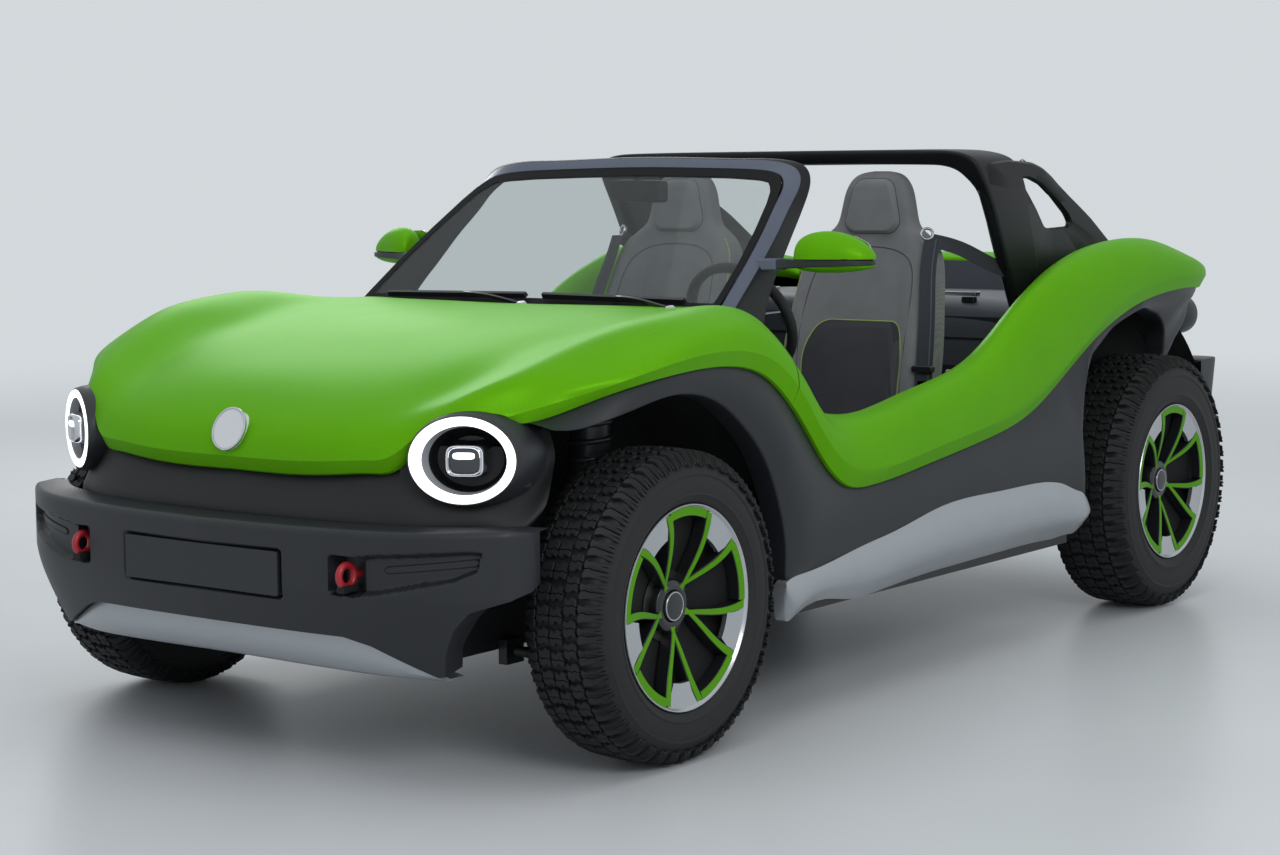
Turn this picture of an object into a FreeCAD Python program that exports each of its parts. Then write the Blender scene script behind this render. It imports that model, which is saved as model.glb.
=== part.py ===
import FreeCAD, Part
import math
import os
import Sketcher
from FreeCAD import Placement, Rotation, Vector

# An open two-seat dune buggy: a green upper body over a dark lower body, a folding-free
# windscreen, a roll hoop with two buttresses, and four independently carried wheels.
# Frame: +X is the vehicle's left, -Y its front, +Z up. The origin lies on the ground
# under the middle of the vehicle. Millimetres and degrees.

doc = FreeCAD.newDocument("dune_buggy")
sheet = doc.addObject("Spreadsheet::Sheet", "Sizes")

# ---------------------------------------------------------------- driving dimensions
SIZES = (
    # alias, value
    ("overall_length", 4063),
    ("overall_width", 1890),
    ("overall_height", 1463),
    ("wheelbase", 2650),
    ("nose_reach", 315.5),
    ("track_front", 1655),
    ("track_rear", 1625),
    ("tyre_radius_front", 376),
    ("tyre_radius_rear", 404),
    ("tyre_width_front", 225),
    ("tyre_width_rear", 255),
    ("rim_radius", 247),
    ("bead_radius", 228.5),
    ("rim_wall", 10),
    ("spoke_depth", 26),
    ("hub_radius", 62),
    ("disc_radius", 158),
    ("disc_thickness", 24),
    ("spindle_radius", 25),
    ("axle_shaft_radius", 18),
    ("pin_play", 0.1),
    ("seat_gap", 0.3),
    ("moving_gap", 5),
    ("kingpin_inset", 87.5),
    ("kingpin_radius", 10),
    ("ball_height", 160),
    ("steering_arm", 135),
    ("rack_radius", 11),
    ("arch_gap_front", 108),
    ("arch_gap_rear", 116),
    ("body_skin", 28),
    ("tub_wall", 30),
    ("panel_inner", 868),
    ("panel_depth", 52),
    ("front_tub_half", 508),
    ("rear_tub_half", 655),
    ("glass_thickness", 6),
    ("trim_gap", 2),
    ("joint_gap", 1),
    ("steering_wheel_radius", 180),
    ("steering_rim_radius", 15),
    ("column_tilt", 25),
    ("seat_offset", 380),
    ("seat_width", 500),
    ("belt_width", 48),
    ("belt_thickness", 3),
    ("tow_eye_radius", 33),
    ("tow_eye_thickness", 18),
    ("tow_bore_radius", 15),
    ("tow_pocket_half", 42),
    ("plate_width", 520),
    ("plate_height", 112),
    ("plate_hole_radius", 3.5),
    ("plate_hole_spacing", 420),
    ("coil_radius", 50),
    ("damper_radius", 20),
    ("tail_lamp_radius", 75),
    ("strap_inset", 6),
)
for row, (alias, value) in enumerate(SIZES, start=1):
    sheet.set(f"A{row}", alias)
    sheet.set(f"B{row}", str(value))
    sheet.setAlias(f"B{row}", alias)
doc.recompute()

# ------------------------------------------------------- places on the vehicle
# The tables below were drawn for these overall sizes. across, along and up turn a drawn
# coordinate into an expression on the sheet, so the body follows the sheet's own sizes:
# ahead of the front axle it follows the front overhang, which is the front tyre's radius
# and the nose's reach beyond it, between the axles the wheelbase, and behind the rear
# axle what is left of the length.
DRAWN_WIDTH = 1890
DRAWN_HEIGHT = 1463
DRAWN_WHEELBASE = 2650
DRAWN_FRONT = 691.5
DRAWN_REAR = 721.5
DRAWN_FRONT_AXLE = -1340
DRAWN_REAR_AXLE = DRAWN_FRONT_AXLE + DRAWN_WHEELBASE

FRONT_OVERHANG = "(Sizes.tyre_radius_front + Sizes.nose_reach)"
FRONT_AXLE = f"({FRONT_OVERHANG} - Sizes.overall_length / 2)"
REAR_AXLE = f"({FRONT_AXLE} + Sizes.wheelbase)"
REAR_OVERHANG = f"(Sizes.overall_length - {FRONT_OVERHANG} - Sizes.wheelbase)"


def across(x):
    return f"({x} * Sizes.overall_width / {DRAWN_WIDTH})"


def up(z):
    return f"({z} * Sizes.overall_height / {DRAWN_HEIGHT})"


def along(y):
    if y <= DRAWN_FRONT_AXLE:
        reach = y - DRAWN_FRONT_AXLE
        return f"({FRONT_AXLE} + ({reach}) * {FRONT_OVERHANG} / {DRAWN_FRONT})"
    if y <= DRAWN_REAR_AXLE:
        reach = y - DRAWN_FRONT_AXLE
        return f"({FRONT_AXLE} + {reach} * Sizes.wheelbase / {DRAWN_WHEELBASE})"
    reach = y - DRAWN_REAR_AXLE
    return f"({REAR_AXLE} + {reach} * {REAR_OVERHANG} / {DRAWN_REAR})"


def number(expression):
    if isinstance(expression, (int, float)):
        return float(expression)
    result = sheet.evalExpression(expression.replace("Sizes.", ""))
    return float(getattr(result, "Value", result))


def spot(x, y, z):
    """A drawn point as a real one."""
    return Vector(number(across(x)), number(along(y)), number(up(z)))


# ------------------------------------------------------- modelling helpers
def origin_part(body, role):
    return next(f for f in body.Origin.OriginFeatures if f.Role == role)


# Each sketch plane's normal: the sketch's own axes are X,Y or X,Z or Y,Z of the body.
PLANES = {"x": ("YZ_Plane", 1), "y": ("XZ_Plane", -1), "z": ("XY_Plane", 1)}


def sketch_on(body, name, axis, start):
    role, sign = PLANES[axis]
    sketch = body.newObject("Sketcher::SketchObject", name)
    sketch.AttachmentSupport = [(origin_part(body, role), "")]
    sketch.MapMode = "FlatFace"
    sketch.setExpression("AttachmentOffset.Base.z", f"{sign} * ({start})")
    return sketch


def bind(sketch, kind, first, expression):
    index = sketch.addConstraint(Sketcher.Constraint(kind, -1, 1, *first, number(expression)))
    sketch.setExpression(f"Constraints[{index}]", str(expression))


def draw_outline(sketch, points):
    """A closed polygon whose corners are bound to expressions."""
    corners = [Vector(number(a), number(b), 0) for a, b in points]
    count = len(corners)
    for i in range(count):
        sketch.addGeometry(Part.LineSegment(corners[i], corners[(i + 1) % count]), False)
    for i in range(count):
        sketch.addConstraint(Sketcher.Constraint("Coincident", i, 2, (i + 1) % count, 1))
    for i, (a, b) in enumerate(points):
        bind(sketch, "DistanceX", (i, 1), a)
        bind(sketch, "DistanceY", (i, 1), b)


def draw_circle(sketch, centre, radius):
    place = Vector(number(centre[0]), number(centre[1]), 0)
    index = sketch.addGeometry(Part.Circle(place, Vector(0, 0, 1), number(radius)), False)
    bind(sketch, "DistanceX", (index, 3), centre[0])
    bind(sketch, "DistanceY", (index, 3), centre[1])
    ring = sketch.addConstraint(Sketcher.Constraint("Radius", index, number(radius)))
    sketch.setExpression(f"Constraints[{ring}]", str(radius))


def draw(sketch, shape):
    """shape is a list of corners, or a tuple (centre, radius)."""
    if isinstance(shape, tuple):
        draw_circle(sketch, *shape)
    else:
        draw_outline(sketch, shape)


def new_body(name):
    body = doc.addObject("PartDesign::Body", name)
    body.Label = name
    return body


def pad(body, name, axis, shape, low, high):
    """Add a prism from low to high along an axis. A pad leaves its sketch along the
    plane's normal, which points to -Y for the y axis."""
    start = high if axis == "y" else low
    sketch = sketch_on(body, name + "_sketch", axis, start)
    draw(sketch, shape)
    feature = body.newObject("PartDesign::Pad", name)
    feature.Profile = sketch
    feature.setExpression("Length", f"({high}) - ({low})")
    doc.recompute()
    return feature


def pocket(body, name, axis, shape, low, high):
    """Cut a prism from low to high along an axis. A pocket cuts against the normal."""
    start = low if axis == "y" else high
    sketch = sketch_on(body, name + "_sketch", axis, start)
    draw(sketch, shape)
    before = body.Shape.Volume
    feature = body.newObject("PartDesign::Pocket", name)
    feature.Profile = sketch
    feature.setExpression("Length", f"({high}) - ({low})")
    doc.recompute()
    if body.Shape.Volume > before - 1:
        raise RuntimeError(f"{name} cuts nothing")
    return feature


def turned(body, name, points):
    """Revolve an outline given as (x, radius) about the body's X axis."""
    sketch = sketch_on(body, name + "_sketch", "z", 0)
    draw_outline(sketch, points)
    feature = body.newObject("PartDesign::Revolution", name)
    feature.Profile = sketch
    feature.ReferenceAxis = (origin_part(body, "X_Axis"), [""])
    feature.Angle = 360
    doc.recompute()
    return feature


def patch(a, b, c, d):
    """The face between edges a-b and d-c: flat where it can be, else ruled."""
    corners = [a]
    for point in (b, c, d):
        if all((point - other).Length > 1e-6 for other in corners):
            corners.append(point)
    if len(corners) < 3:
        return None
    if len(corners) == 3:
        return Part.Face(Part.makePolygon(corners + corners[:1]))
    normal = (b - a).cross(c - a)
    if normal.Length > 0 and abs((d - a).dot(normal / normal.Length)) < 1e-7:
        return Part.Face(Part.makePolygon([a, b, c, d, a]))
    return Part.makeRuledSurface(Part.makeLine(a, b), Part.makeLine(d, c))


def solid_of(faces):
    shell = Part.Shell([face for face in faces if face is not None])
    shell.sewShape()
    solid = Part.Solid(Part.Shell(shell.Faces))
    if solid.Volume < 0:
        solid.reverse()
    return solid


def through(sections):
    """A solid through closed sections with equally many corners. Each end is closed by
    strips between a corner and its partner from the section's other half."""
    faces = []
    count = len(sections[0])
    for one, two in zip(sections, sections[1:]):
        for i in range(count):
            j = (i + 1) % count
            faces.append(patch(one[i], one[j], two[j], two[i]))
    for end in (sections[0], sections[-1]):
        for i in range(count // 2 - 1):
            faces.append(patch(end[i], end[i + 1], end[count - 2 - i], end[count - 1 - i]))
    return solid_of(faces)


def feature_of(name, shape):
    made = doc.addObject("Part::Feature", name)
    made.Label = name
    made.Shape = shape
    return made


def mirrored(name, source):
    """The same piece on the vehicle's right."""
    made = doc.addObject("Part::Mirroring", name)
    made.Label = name
    made.Source = source
    made.Normal = Vector(1, 0, 0)
    made.Base = Vector(0, 0, 0)
    return made


def together(name, pieces):
    made = doc.addObject("Part::Compound", name)
    made.Label = name
    made.Links = pieces
    return made


def rod(start, end, radius):
    return Part.makeCylinder(radius, (end - start).Length, start, end - start)


def block(low, high):
    size = high - low
    return Part.makeBox(size.x, size.y, size.z, low)


nodes = []

# ------------------------------------------------------- front clamshell
# Rows run from the nose lip to the rear edge, columns from the centre line out over the
# valley, the wheel crest and down to the lower edge. Each entry is (x, y, z).
CLAMSHELL = (
    # centre, hood, valley, inner shoulder, crest, outer shoulder, flank, lower edge
    ((0, -1921, 708), (300, -1915, 710), (490, -1895, 745), (620, -1868, 862),
     (730, -1838, 872), (810, -1806, 860), (852, -1778, 850), (872, -1752, 852)),
    ((0, -1915, 800), (300, -1905, 800), (510, -1870, 822), (630, -1842, 895),
     (745, -1810, 908), (828, -1772, 898), (876, -1735, 886), (898, -1705, 876)),
    ((0, -1800, 880), (300, -1790, 878), (520, -1757, 888), (650, -1725, 925),
     (770, -1690, 937), (862, -1650, 930), (912, -1620, 918), (926, -1600, 906)),
    ((0, -1550, 960), (300, -1550, 956), (545, -1530, 945), (670, -1510, 962),
     (800, -1500, 978), (880, -1500, 962), (928, -1500, 942), (930, -1500, 920)),
    ((0, -1350, 1004), (300, -1350, 1000), (560, -1352, 984), (690, -1350, 1010),
     (820, -1350, 1032), (900, -1350, 1012), (938, -1350, 975), (932, -1350, 931)),
    ((0, -1150, 1030), (300, -1150, 1027), (560, -1130, 1022), (700, -1150, 1060),
     (830, -1150, 1082), (905, -1150, 1060), (942, -1150, 1000), (935, -1150, 935)),
    ((0, -1000, 1041), (300, -990, 1040), (570, -960, 1044), (700, -990, 1054),
     (830, -1000, 1060), (905, -1000, 1035), (942, -1000, 985), (934, -1000, 897)),
    ((0, -870, 1048), (300, -855, 1050), (585, -775, 1047), (690, -790, 1018),
     (815, -870, 988), (890, -870, 962), (932, -870, 915), (930, -870, 857)),
)


def front_clamshell():
    rows = [[spot(*entry) for entry in row] for row in CLAMSHELL]
    rows = [[Vector(-p.x, p.y, p.z) for p in row[:0:-1]] + row for row in rows]
    skin = number("Sizes.body_skin")
    height, width = len(rows), len(rows[0])
    inner = []
    for i, row in enumerate(rows):
        line = []
        for j, point in enumerate(row):
            i0 = min(max(i - 1, 0), height - 3)
            j0 = min(max(j - 1, 0), width - 3)
            back = rows[i0 + 2][j] - rows[i0][j]
            side = row[j0 + 2] - row[j0]
            inward = back.cross(side)
            if i == height - 1:
                inward.y = 0
            line.append(point + inward.normalize() * skin)
        inner.append(line)
    sections = [outer + under[::-1] for outer, under in zip(rows, inner)]
    return feature_of("front_clamshell", through(sections))


nodes.append(front_clamshell())

# ------------------------------------------------------- side bands
# One rounded green rail runs from the clamshell past the door opening and over the rear
# wheel. Its lower edge is also the top edge of the dark side panel.
BAND = (
    # y, lower edge, crest, outer x, inner x
    (-870, 857, 985, 932, 800),
    (-792, 762, 895, 928, 785),
    (-698, 652, 796, 925, 778),
    (-602, 593, 771, 923, 772),
    (-478, 577, 792, 922, 768),
    (-167, 591, 836, 922, 764),
    (169, 638, 955, 925, 758),
    (407, 704, 1068, 930, 748),
    (593, 808, 1126, 935, 740),
    (786, 901, 1165, 940, 735),
    (987, 967, 1180, 944, 732),
    (1199, 1004, 1184, 945, 728),
    (1496, 1014, 1120, 932, 715),
    (1640, 1008, 1085, 900, 700),
    (1740, 1000, 1060, 840, 690),
)
CREASE = 40


def side_band():
    sections = []
    for y, low, top, outer, inner in BAND:
        tall = top - low
        crease = low + min(CREASE, 0.4 * tall)
        drawn = ((outer - 4, low), (outer, crease), (outer - 14, low + 0.62 * tall),
                 (outer - 58, top - 0.07 * tall), (inner + 70, top), (inner + 20, top - 0.14 * tall),
                 (inner, low + 0.5 * tall), (inner + 12, low))
        sections.append([spot(x, y, z) for x, z in drawn])
    return feature_of("side_band_left", through(sections))


nodes.append(side_band())
nodes.append(mirrored("side_band_right", nodes[-1]))

# ------------------------------------------------------- side panels and sills
LOWER_EDGE_FRONT = ((-1650, 899), (-1500, 920), (-1350, 931), (-1150, 935), (-1000, 897),
                    (-870, 857))
SILL_TOP = ((-890, 362), (-815, 386), (-528, 422), (-114, 481), (226, 487), (468, 485),
            (692, 437), (779, 382), (770, 338))
SILL_BOTTOM = ((676, 299), (303, 291), (-362, 281), (-884, 271))
PANEL_LOW = across("Sizes.panel_inner")
PANEL_HIGH = f"({PANEL_LOW} + Sizes.panel_depth)"
WHEEL_Z = {"front": "Sizes.tyre_radius_front", "rear": "Sizes.tyre_radius_rear"}
WHEEL_Y = {"front": FRONT_AXLE, "rear": REAR_AXLE}


def side_panel():
    body = new_body("side_panel_left")
    top = [(along(y), f"{up(z)} - Sizes.body_skin - Sizes.trim_gap") for y, z in LOWER_EDGE_FRONT]
    top += [(along(y), up(low)) for y, low, *rest in BAND[1:]]
    tail = [(along(1740), up(700)), (along(1560), up(640)), (along(1400), up(338))]
    sill = [(along(y), up(z)) for y, z in reversed(SILL_TOP)]
    nose = [(along(-1340), up(362)), (along(-1650), up(800))]
    pad(body, "side_wall", "x", top + tail + sill + nose, PANEL_LOW, PANEL_HIGH)
    for end in ("front", "rear"):
        arch = f"(Sizes.tyre_radius_{end} + Sizes.arch_gap_{end})"
        circle = ((WHEEL_Y[end], WHEEL_Z[end]), arch)
        pocket(body, f"{end}_arch", "x", circle, PANEL_LOW, PANEL_HIGH)
    return body


def sill_plate():
    body = new_body("sill_plate")
    outline = [(along(y), up(z)) for y, z in SILL_TOP + SILL_BOTTOM]
    pad(body, "plate", "x", outline, PANEL_LOW, PANEL_HIGH)
    return body


nodes.append(side_panel())
nodes.append(mirrored("side_panel_right", nodes[-1]))
sill = sill_plate()
nodes.append(together("sill_plates", [sill, mirrored("sill_plate_right", sill)]))

# ------------------------------------------------------- tubs
RACK_Y = 135
RACK_Z = -30
FLOOR_FRONT = -760
FLOOR_REAR = 700
FLOOR_Z = 425
DECK_Z = 950


def both_ways(points):
    """A half outline, from the centre up or down, closed by its own mirror image."""
    half = [(across(x), up(z)) for x, z in points]
    other = [(across(-x), up(z)) for x, z in reversed(points)]
    return half + other


def floor_tub():
    body = new_body("floor_tub")
    outer = f"({PANEL_LOW})"
    half = [(across(650), up(395)), (across(650), up(275)), (outer, up(275)), (outer, up(560)),
            (across(705), up(560)), (across(690), up(FLOOR_Z))]
    other = [(f"-1 * {x}", z) for x, z in reversed(half)]
    pad(body, "floor_pan", "y", half + other, along(FLOOR_FRONT), along(FLOOR_REAR))
    return body


# The lamp carrier's free end in plan, parallel to the back of the turned lamp.
LAMP_CARRIER = ((750, -1721.5), (750, -1698))


def front_tub():
    body = new_body("front_tub")
    half = "Sizes.front_tub_half"
    wall = "Sizes.tub_wall"
    side = [(along(-1880), up(262)), (along(-1880), up(600)), (along(-1845), up(700)),
            (along(-1757), up(832)), (along(-1352), up(930)), (along(-1113), up(975)),
            (along(-800), up(985)), (along(-800), up(262))]
    pad(body, "nose_box", "x", side, f"-{half}", half)
    inside = [(f"-{half} + {wall}", along(-1850)), (f"{half} - {wall}", along(-1850)),
              (f"{half} - {wall}", along(-835)), (f"-{half} + {wall}", along(-835))]
    pocket(body, "nose_space", "z", inside, f"{up(262)} + {wall}", up(1000))
    rack_hole = ((f"{FRONT_AXLE} + {RACK_Y}", f"Sizes.tyre_radius_front + {RACK_Z}"),
                 "Sizes.rack_radius + Sizes.moving_gap")
    pocket(body, "rack_hole", "x", rack_hole, f"-{half}", half)
    firewall = [(PANEL_LOW, up(275)), (PANEL_LOW, up(560)), (across(760), up(560)),
                (across(760), up(860)), (across(690), up(985))]
    firewall += [(f"-1 * {x}", z) for x, z in reversed(firewall)]
    pad(body, "firewall", "y", firewall, along(-800), along(FLOOR_FRONT))
    for side_name, sign in (("left", 1), ("right", -1)):
        carrier = [(across(sign * x), along(y)) for x, y in LAMP_CARRIER]
        carrier.append((f"{sign} * ({half} - {wall} / 2)", along(-1832)))
        carrier.append((f"{sign} * ({half} - {wall} / 2)", along(-1858)))
        pad(body, f"lamp_carrier_{side_name}", "z", carrier, up(690), up(782))
        near = f"{half} - {wall}" if sign > 0 else f"-1 * {across(715)}"
        far = across(715) if sign > 0 else f"{wall} - {half}"
        tower = [(f"{FRONT_AXLE} - 75", up(862)), (f"{FRONT_AXLE} + 75", up(862)),
                 (f"{FRONT_AXLE} + 60", up(895)), (f"{FRONT_AXLE} - 60", up(895))]
        pad(body, f"strut_tower_{side_name}", "x", tower, near, far)
    return body


def rear_tub():
    body = new_body("rear_tub")
    half = "Sizes.rear_tub_half"
    wall = "Sizes.tub_wall"
    side = [(along(FLOOR_REAR), up(275)), (along(FLOOR_REAR), up(DECK_Z)), (along(1740), up(DECK_Z)),
            (along(1740), up(620)), (along(780), up(620)), (along(740), up(275))]
    pad(body, "luggage_box", "x", side, f"-{half}", half)
    deck = both_ways([(718, DECK_Z - 25), (718, DECK_Z)])
    pad(body, "hoop_deck", "y", deck, along(FLOOR_REAR), along(1740))
    inside = [(f"-{half} + {wall}", along(735)), (f"{half} - {wall}", along(735)),
              (f"{half} - {wall}", along(1700)), (f"-{half} + {wall}", along(1700))]
    pocket(body, "luggage_space", "z", inside, f"{up(620)} + {wall}", up(DECK_Z))
    tail = both_ways([(700, 412), (715, 900), (665, 1010)])
    pad(body, "tail_wall", "y", tail, along(1740), along(1780))
    bulkhead = both_ways([(690, FLOOR_Z), (705, 560), (718, 560), (718, 800)])
    pad(body, "rear_bulkhead", "y", bulkhead, along(660), along(FLOOR_REAR))
    return body


nodes.append(floor_tub())
nodes.append(front_tub())
nodes.append(rear_tub())


TAIL_X = 690
TAIL_Z = 895


def rear_deck():
    body = new_body("rear_deck")
    lip = [(along(1560), up(1010)), (along(1560), up(1040)), (along(1700), up(1052)),
           (along(1820), up(1030)), (along(1875), up(970)), (along(1870), up(890)),
           (along(1845), up(890)), (along(1845), up(955)), (along(1800), up(1010))]
    pad(body, "lip", "x", lip, f"-1 * {across(668)}", across(668))
    for name, x in (("left", TAIL_X), ("right", -TAIL_X)):
        recess = ((across(x), up(TAIL_Z)), "Sizes.tail_lamp_radius + Sizes.moving_gap")
        pocket(body, f"lamp_recess_{name}", "y", recess, along(1700), along(1990))
    return body


def battery_pack():
    body = new_body("battery_pack")
    outline = [(across(-640), along(-620)), (across(640), along(-620)),
               (across(640), along(620)), (across(-640), along(620))]
    pad(body, "case", "z", outline, up(245), up(395))
    return body


DRIVE_HALF = 250


def drive_unit():
    body = new_body("drive_unit")
    outline = [(f"{REAR_AXLE} - 150", "Sizes.tyre_radius_rear - 110"),
               (f"{REAR_AXLE} + 170", "Sizes.tyre_radius_rear - 110"),
               (f"{REAR_AXLE} + 170", up(500)), (f"{REAR_AXLE} - 150", up(500))]
    pad(body, "motor_block", "x", outline, -DRIVE_HALF, DRIVE_HALF)
    return body


nodes.append(rear_deck())
nodes.append(battery_pack())
nodes.append(drive_unit())

# ------------------------------------------------------- dashboard and steering wheel
WHEEL_CENTRE = (-325, 985)


def dashboard():
    body = new_body("dash_panel")
    profile = [(along(FLOOR_FRONT), up(720)), (along(FLOOR_FRONT), up(985)), (along(-560), up(985)),
               (along(-440), up(930)), (along(-400), up(850)), (along(-470), up(770)),
               (along(-600), up(700))]
    pad(body, "crash_pad", "x", profile, f"-1 * {across(680)}", across(680))
    doc.recompute()
    return body


def column_line():
    """The steering wheel's centre and its axis, which points at the driver."""
    tilt = math.radians(number("Sizes.column_tilt"))
    centre = Vector(number(across("Sizes.seat_offset")), number(along(WHEEL_CENTRE[0])),
                    number(up(WHEEL_CENTRE[1])))
    return centre, Vector(0, math.cos(tilt), math.sin(tilt))


def dashboard_with_column():
    panel = dashboard()
    centre, axis = column_line()
    play = number("Sizes.pin_play")
    shaft = number("Sizes.kingpin_radius") + play
    sleeve = rod(centre - axis * 45, centre - axis * 190, 34)
    shape = panel.Shape.fuse(sleeve).cut(rod(centre - axis * 44, centre - axis * 121, shaft))
    return feature_of("dashboard", shape.removeSplitter())


def steering_wheel():
    centre, axis = column_line()
    ring = number("Sizes.steering_wheel_radius")
    grip = number("Sizes.steering_rim_radius")
    shaft = number("Sizes.kingpin_radius")
    shape = Part.makeTorus(ring - grip, grip, Vector(0, 0, 0), Vector(0, 0, 1))
    hub = Part.makeCylinder(52, 40, Vector(0, 0, -36))
    stalk = Part.makeCylinder(shaft, 90, Vector(0, 0, -120))
    shape = shape.fuse([hub, stalk])
    for turn in (0, 90, 180):
        arm = Part.makeBox(ring - grip - 30, 44, 14, Vector(30, -22, -14))
        arm.rotate(Vector(0, 0, 0), Vector(0, 0, 1), turn)
        shape = shape.fuse(arm)
    made = feature_of("steering_wheel", shape.removeSplitter())
    made.Placement = Placement(centre, Rotation(Vector(0, 0, 1), axis))
    return made


nodes.append(dashboard_with_column())
nodes.append(steering_wheel())

# ------------------------------------------------------- windscreen and roll hoop

def screen_point(share, height, bow_bottom=70, bow_top=25):
    """A point of the glass: share runs -1 to 1 across, height 0 at the base to 1 on top."""
    half = 571 + (546 - 571) * height
    base_y = -750 + (-245 + 750) * height
    bow = (bow_bottom + (bow_top - bow_bottom) * height) * (1 - share * share)
    return spot(half * share, base_y - bow, 1019 + (1390 - 1019) * height)


def glass_sheet(thickness, shift, half_share=1.0, low=0.0, high=1.0):
    """The screen as a sheet. shift moves it back along the screen's normal."""
    back = Vector(0, 0.59, -0.807)
    sections = []
    for step in range(-4, 5):
        share = half_share * step / 4
        bottom, top = screen_point(share, low), screen_point(share, high)
        near, far = back * shift, back * (shift + thickness)
        sections.append([bottom + near, top + near, top + far, bottom + far])
    return through(sections)


def windscreen_glass():
    return feature_of("windscreen_glass", glass_sheet(number("Sizes.glass_thickness"), 0.0))


def windscreen_frame():
    gap = number("Sizes.seat_gap")
    thick = number("Sizes.glass_thickness")
    foot = ((556, -742, 985), (648, -712, 985), (652, -600, 985), (590, -620, 985))
    head = ((533, -268, 1378), (596, -300, 1388), (602, -222, 1430), (533, -205, 1432))
    left = through([[spot(*p) for p in foot], [spot(*p) for p in head]])
    right = left.mirror(Vector(0, 0, 0), Vector(1, 0, 0))
    bar = ((-290, 1386), (-232, 1436), (-200, 1439), (-196, 1412), (-235, 1384))
    ends = [[spot(x, y, z) for y, z in bar] for x in (-598, 598)]
    header = Part.Solid(Part.makeLoft([Part.makePolygon(e + e[:1]) for e in ends], True, True))
    sill_bar = ((-845, 985), (-845, 1012), (-690, 1012), (-690, 985))
    ends = [[spot(x, y, z) for y, z in sill_bar] for x in (-600, 600)]
    cowl = through(ends)
    shape = left.fuse([right, header, cowl])
    seat = glass_sheet(thick + 2 * gap, -gap, 1.002, -0.001, 1.001)
    return feature_of("windscreen_frame", shape.cut(seat).removeSplitter())


def roll_hoop():
    body = new_body("roll_hoop")
    bar = [(along(424), up(1413)), (along(430), up(1452)), (along(453), "Sizes.overall_height"),
           (along(600), "Sizes.overall_height"), (along(640), up(1440)), (along(620), up(1413))]
    pad(body, "top_bar", "x", bar, f"-1 * {across(715)}", across(715))
    plate = [(along(424), up(1413)), (along(516), up(1310)), (along(613), up(1008)),
             (along(640), up(DECK_Z)), (along(1360), up(DECK_Z)), (along(1400), up(1130)),
             (along(1361), up(1169)), (along(1196), up(1285)), (along(857), up(1413)),
             (along(666), up(1440)), (along(600), up(1450)), (along(453), up(1450))]
    window = [(along(725), up(1374)), (along(913), up(1348)), (along(1173), up(1231)),
              (along(1160), up(1206)), (along(909), up(1206))]
    for name, low, high in (("left", 660, 715), ("right", -715, -660)):
        pad(body, f"{name}_buttress", "x", plate, across(low), across(high))
        pocket(body, f"{name}_window", "x", window, across(low), across(high))
    return body


nodes.append(windscreen_glass())
nodes.append(windscreen_frame())
nodes.append(roll_hoop())

# ------------------------------------------------------- bumpers and skid plates
FRONT_BUMPER = (
    # x, front y, rear y, top z, bottom z
    (0, -2031.5, -1880, 600, 345),
    (300, -2018, -1880, 601, 345),
    (520, -1990, -1880, 603, 360),
    (700, -1925, -1840, 606, 410),
    (823, -1800, -1775, 609, 470),
)
REAR_BUMPER = (
    (0, 2031.5, 1780, 735, 540),
    (400, 2022, 1780, 736, 545),
    (640, 1985, 1780, 738, 560),
    (790, 1880, 1780, 740, 610),
)


TOW_X = 448
TOW_Y = -1993
TOW_Z = 496
PLATE_FACE = -2016
PLATE_Z = 478


def bumper(table):
    sections = []
    mirror_rows = [(-x, *rest) for x, *rest in reversed(table[1:])]
    for x, face, back, top, low in mirror_rows + list(table):
        lean = 0.16 * (back - face)
        drawn = ((back, top), (face + lean, top), (face, top - 35), (face + 0.4 * lean, low + 60),
                 (face + 1.6 * lean, low), (back, low))
        sections.append([spot(x, y, z) for y, z in drawn])
    return through(sections)


# The hollow outboard of each tow eye, in plan: its floor lies behind the eye's bore, so
# that a pin goes in from the side.
TOW_HOLLOW = ((480, -2060), (480, -1966), (560, -1954), (690, -1912), (690, -2060))
TOW_HOLLOW_HALF = 50


def front_bumper():
    """The bumper with a pocket and a side hollow for each tow eye, and the plate's
    recess with its holes."""
    shape = bumper(FRONT_BUMPER)
    eye = spot(TOW_X, TOW_Y, TOW_Z)
    half = number("Sizes.tow_pocket_half")
    depth = number("Sizes.tow_eye_radius") + 3
    front = number(along(-2060))
    wide = number("Sizes.plate_width") / 2
    tall = number("Sizes.plate_height") / 2
    face = number(along(PLATE_FACE))
    middle = number(up(PLATE_Z))
    cuts = [block(Vector(-wide, front, middle - tall), Vector(wide, face, middle + tall))]
    for sign in (-1, 1):
        pocket_at = Vector(sign * eye.x, 0, eye.z)
        cuts.append(block(pocket_at + Vector(-half, front, -half),
                          pocket_at + Vector(half, eye.y + depth, half)))
        low = [spot(sign * x, y, TOW_Z - TOW_HOLLOW_HALF) for x, y in TOW_HOLLOW]
        rise = number(up(2 * TOW_HOLLOW_HALF))
        cuts.append(Part.Face(Part.makePolygon(low + low[:1])).extrude(Vector(0, 0, rise)))
        hole = Vector(sign * number("Sizes.plate_hole_spacing") / 2, face - 1, middle)
        cuts.append(Part.makeCylinder(number("Sizes.plate_hole_radius"), 31, hole, Vector(0, 1, 0)))
    return feature_of("front_bumper", shape.cut(cuts))


def skid(name, table):
    """A bent plate from a list of (y, z) corners down the outside and back inside."""
    sections = []
    for x, pull in ((-560, 12), (-300, 2), (0, 0), (300, 2), (560, 12)):
        sections.append([spot(x, y, z + pull) if k in (0, 5) else spot(x, y, z)
                         for k, (y, z) in enumerate(table)])
    return feature_of(name, through(sections))


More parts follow.
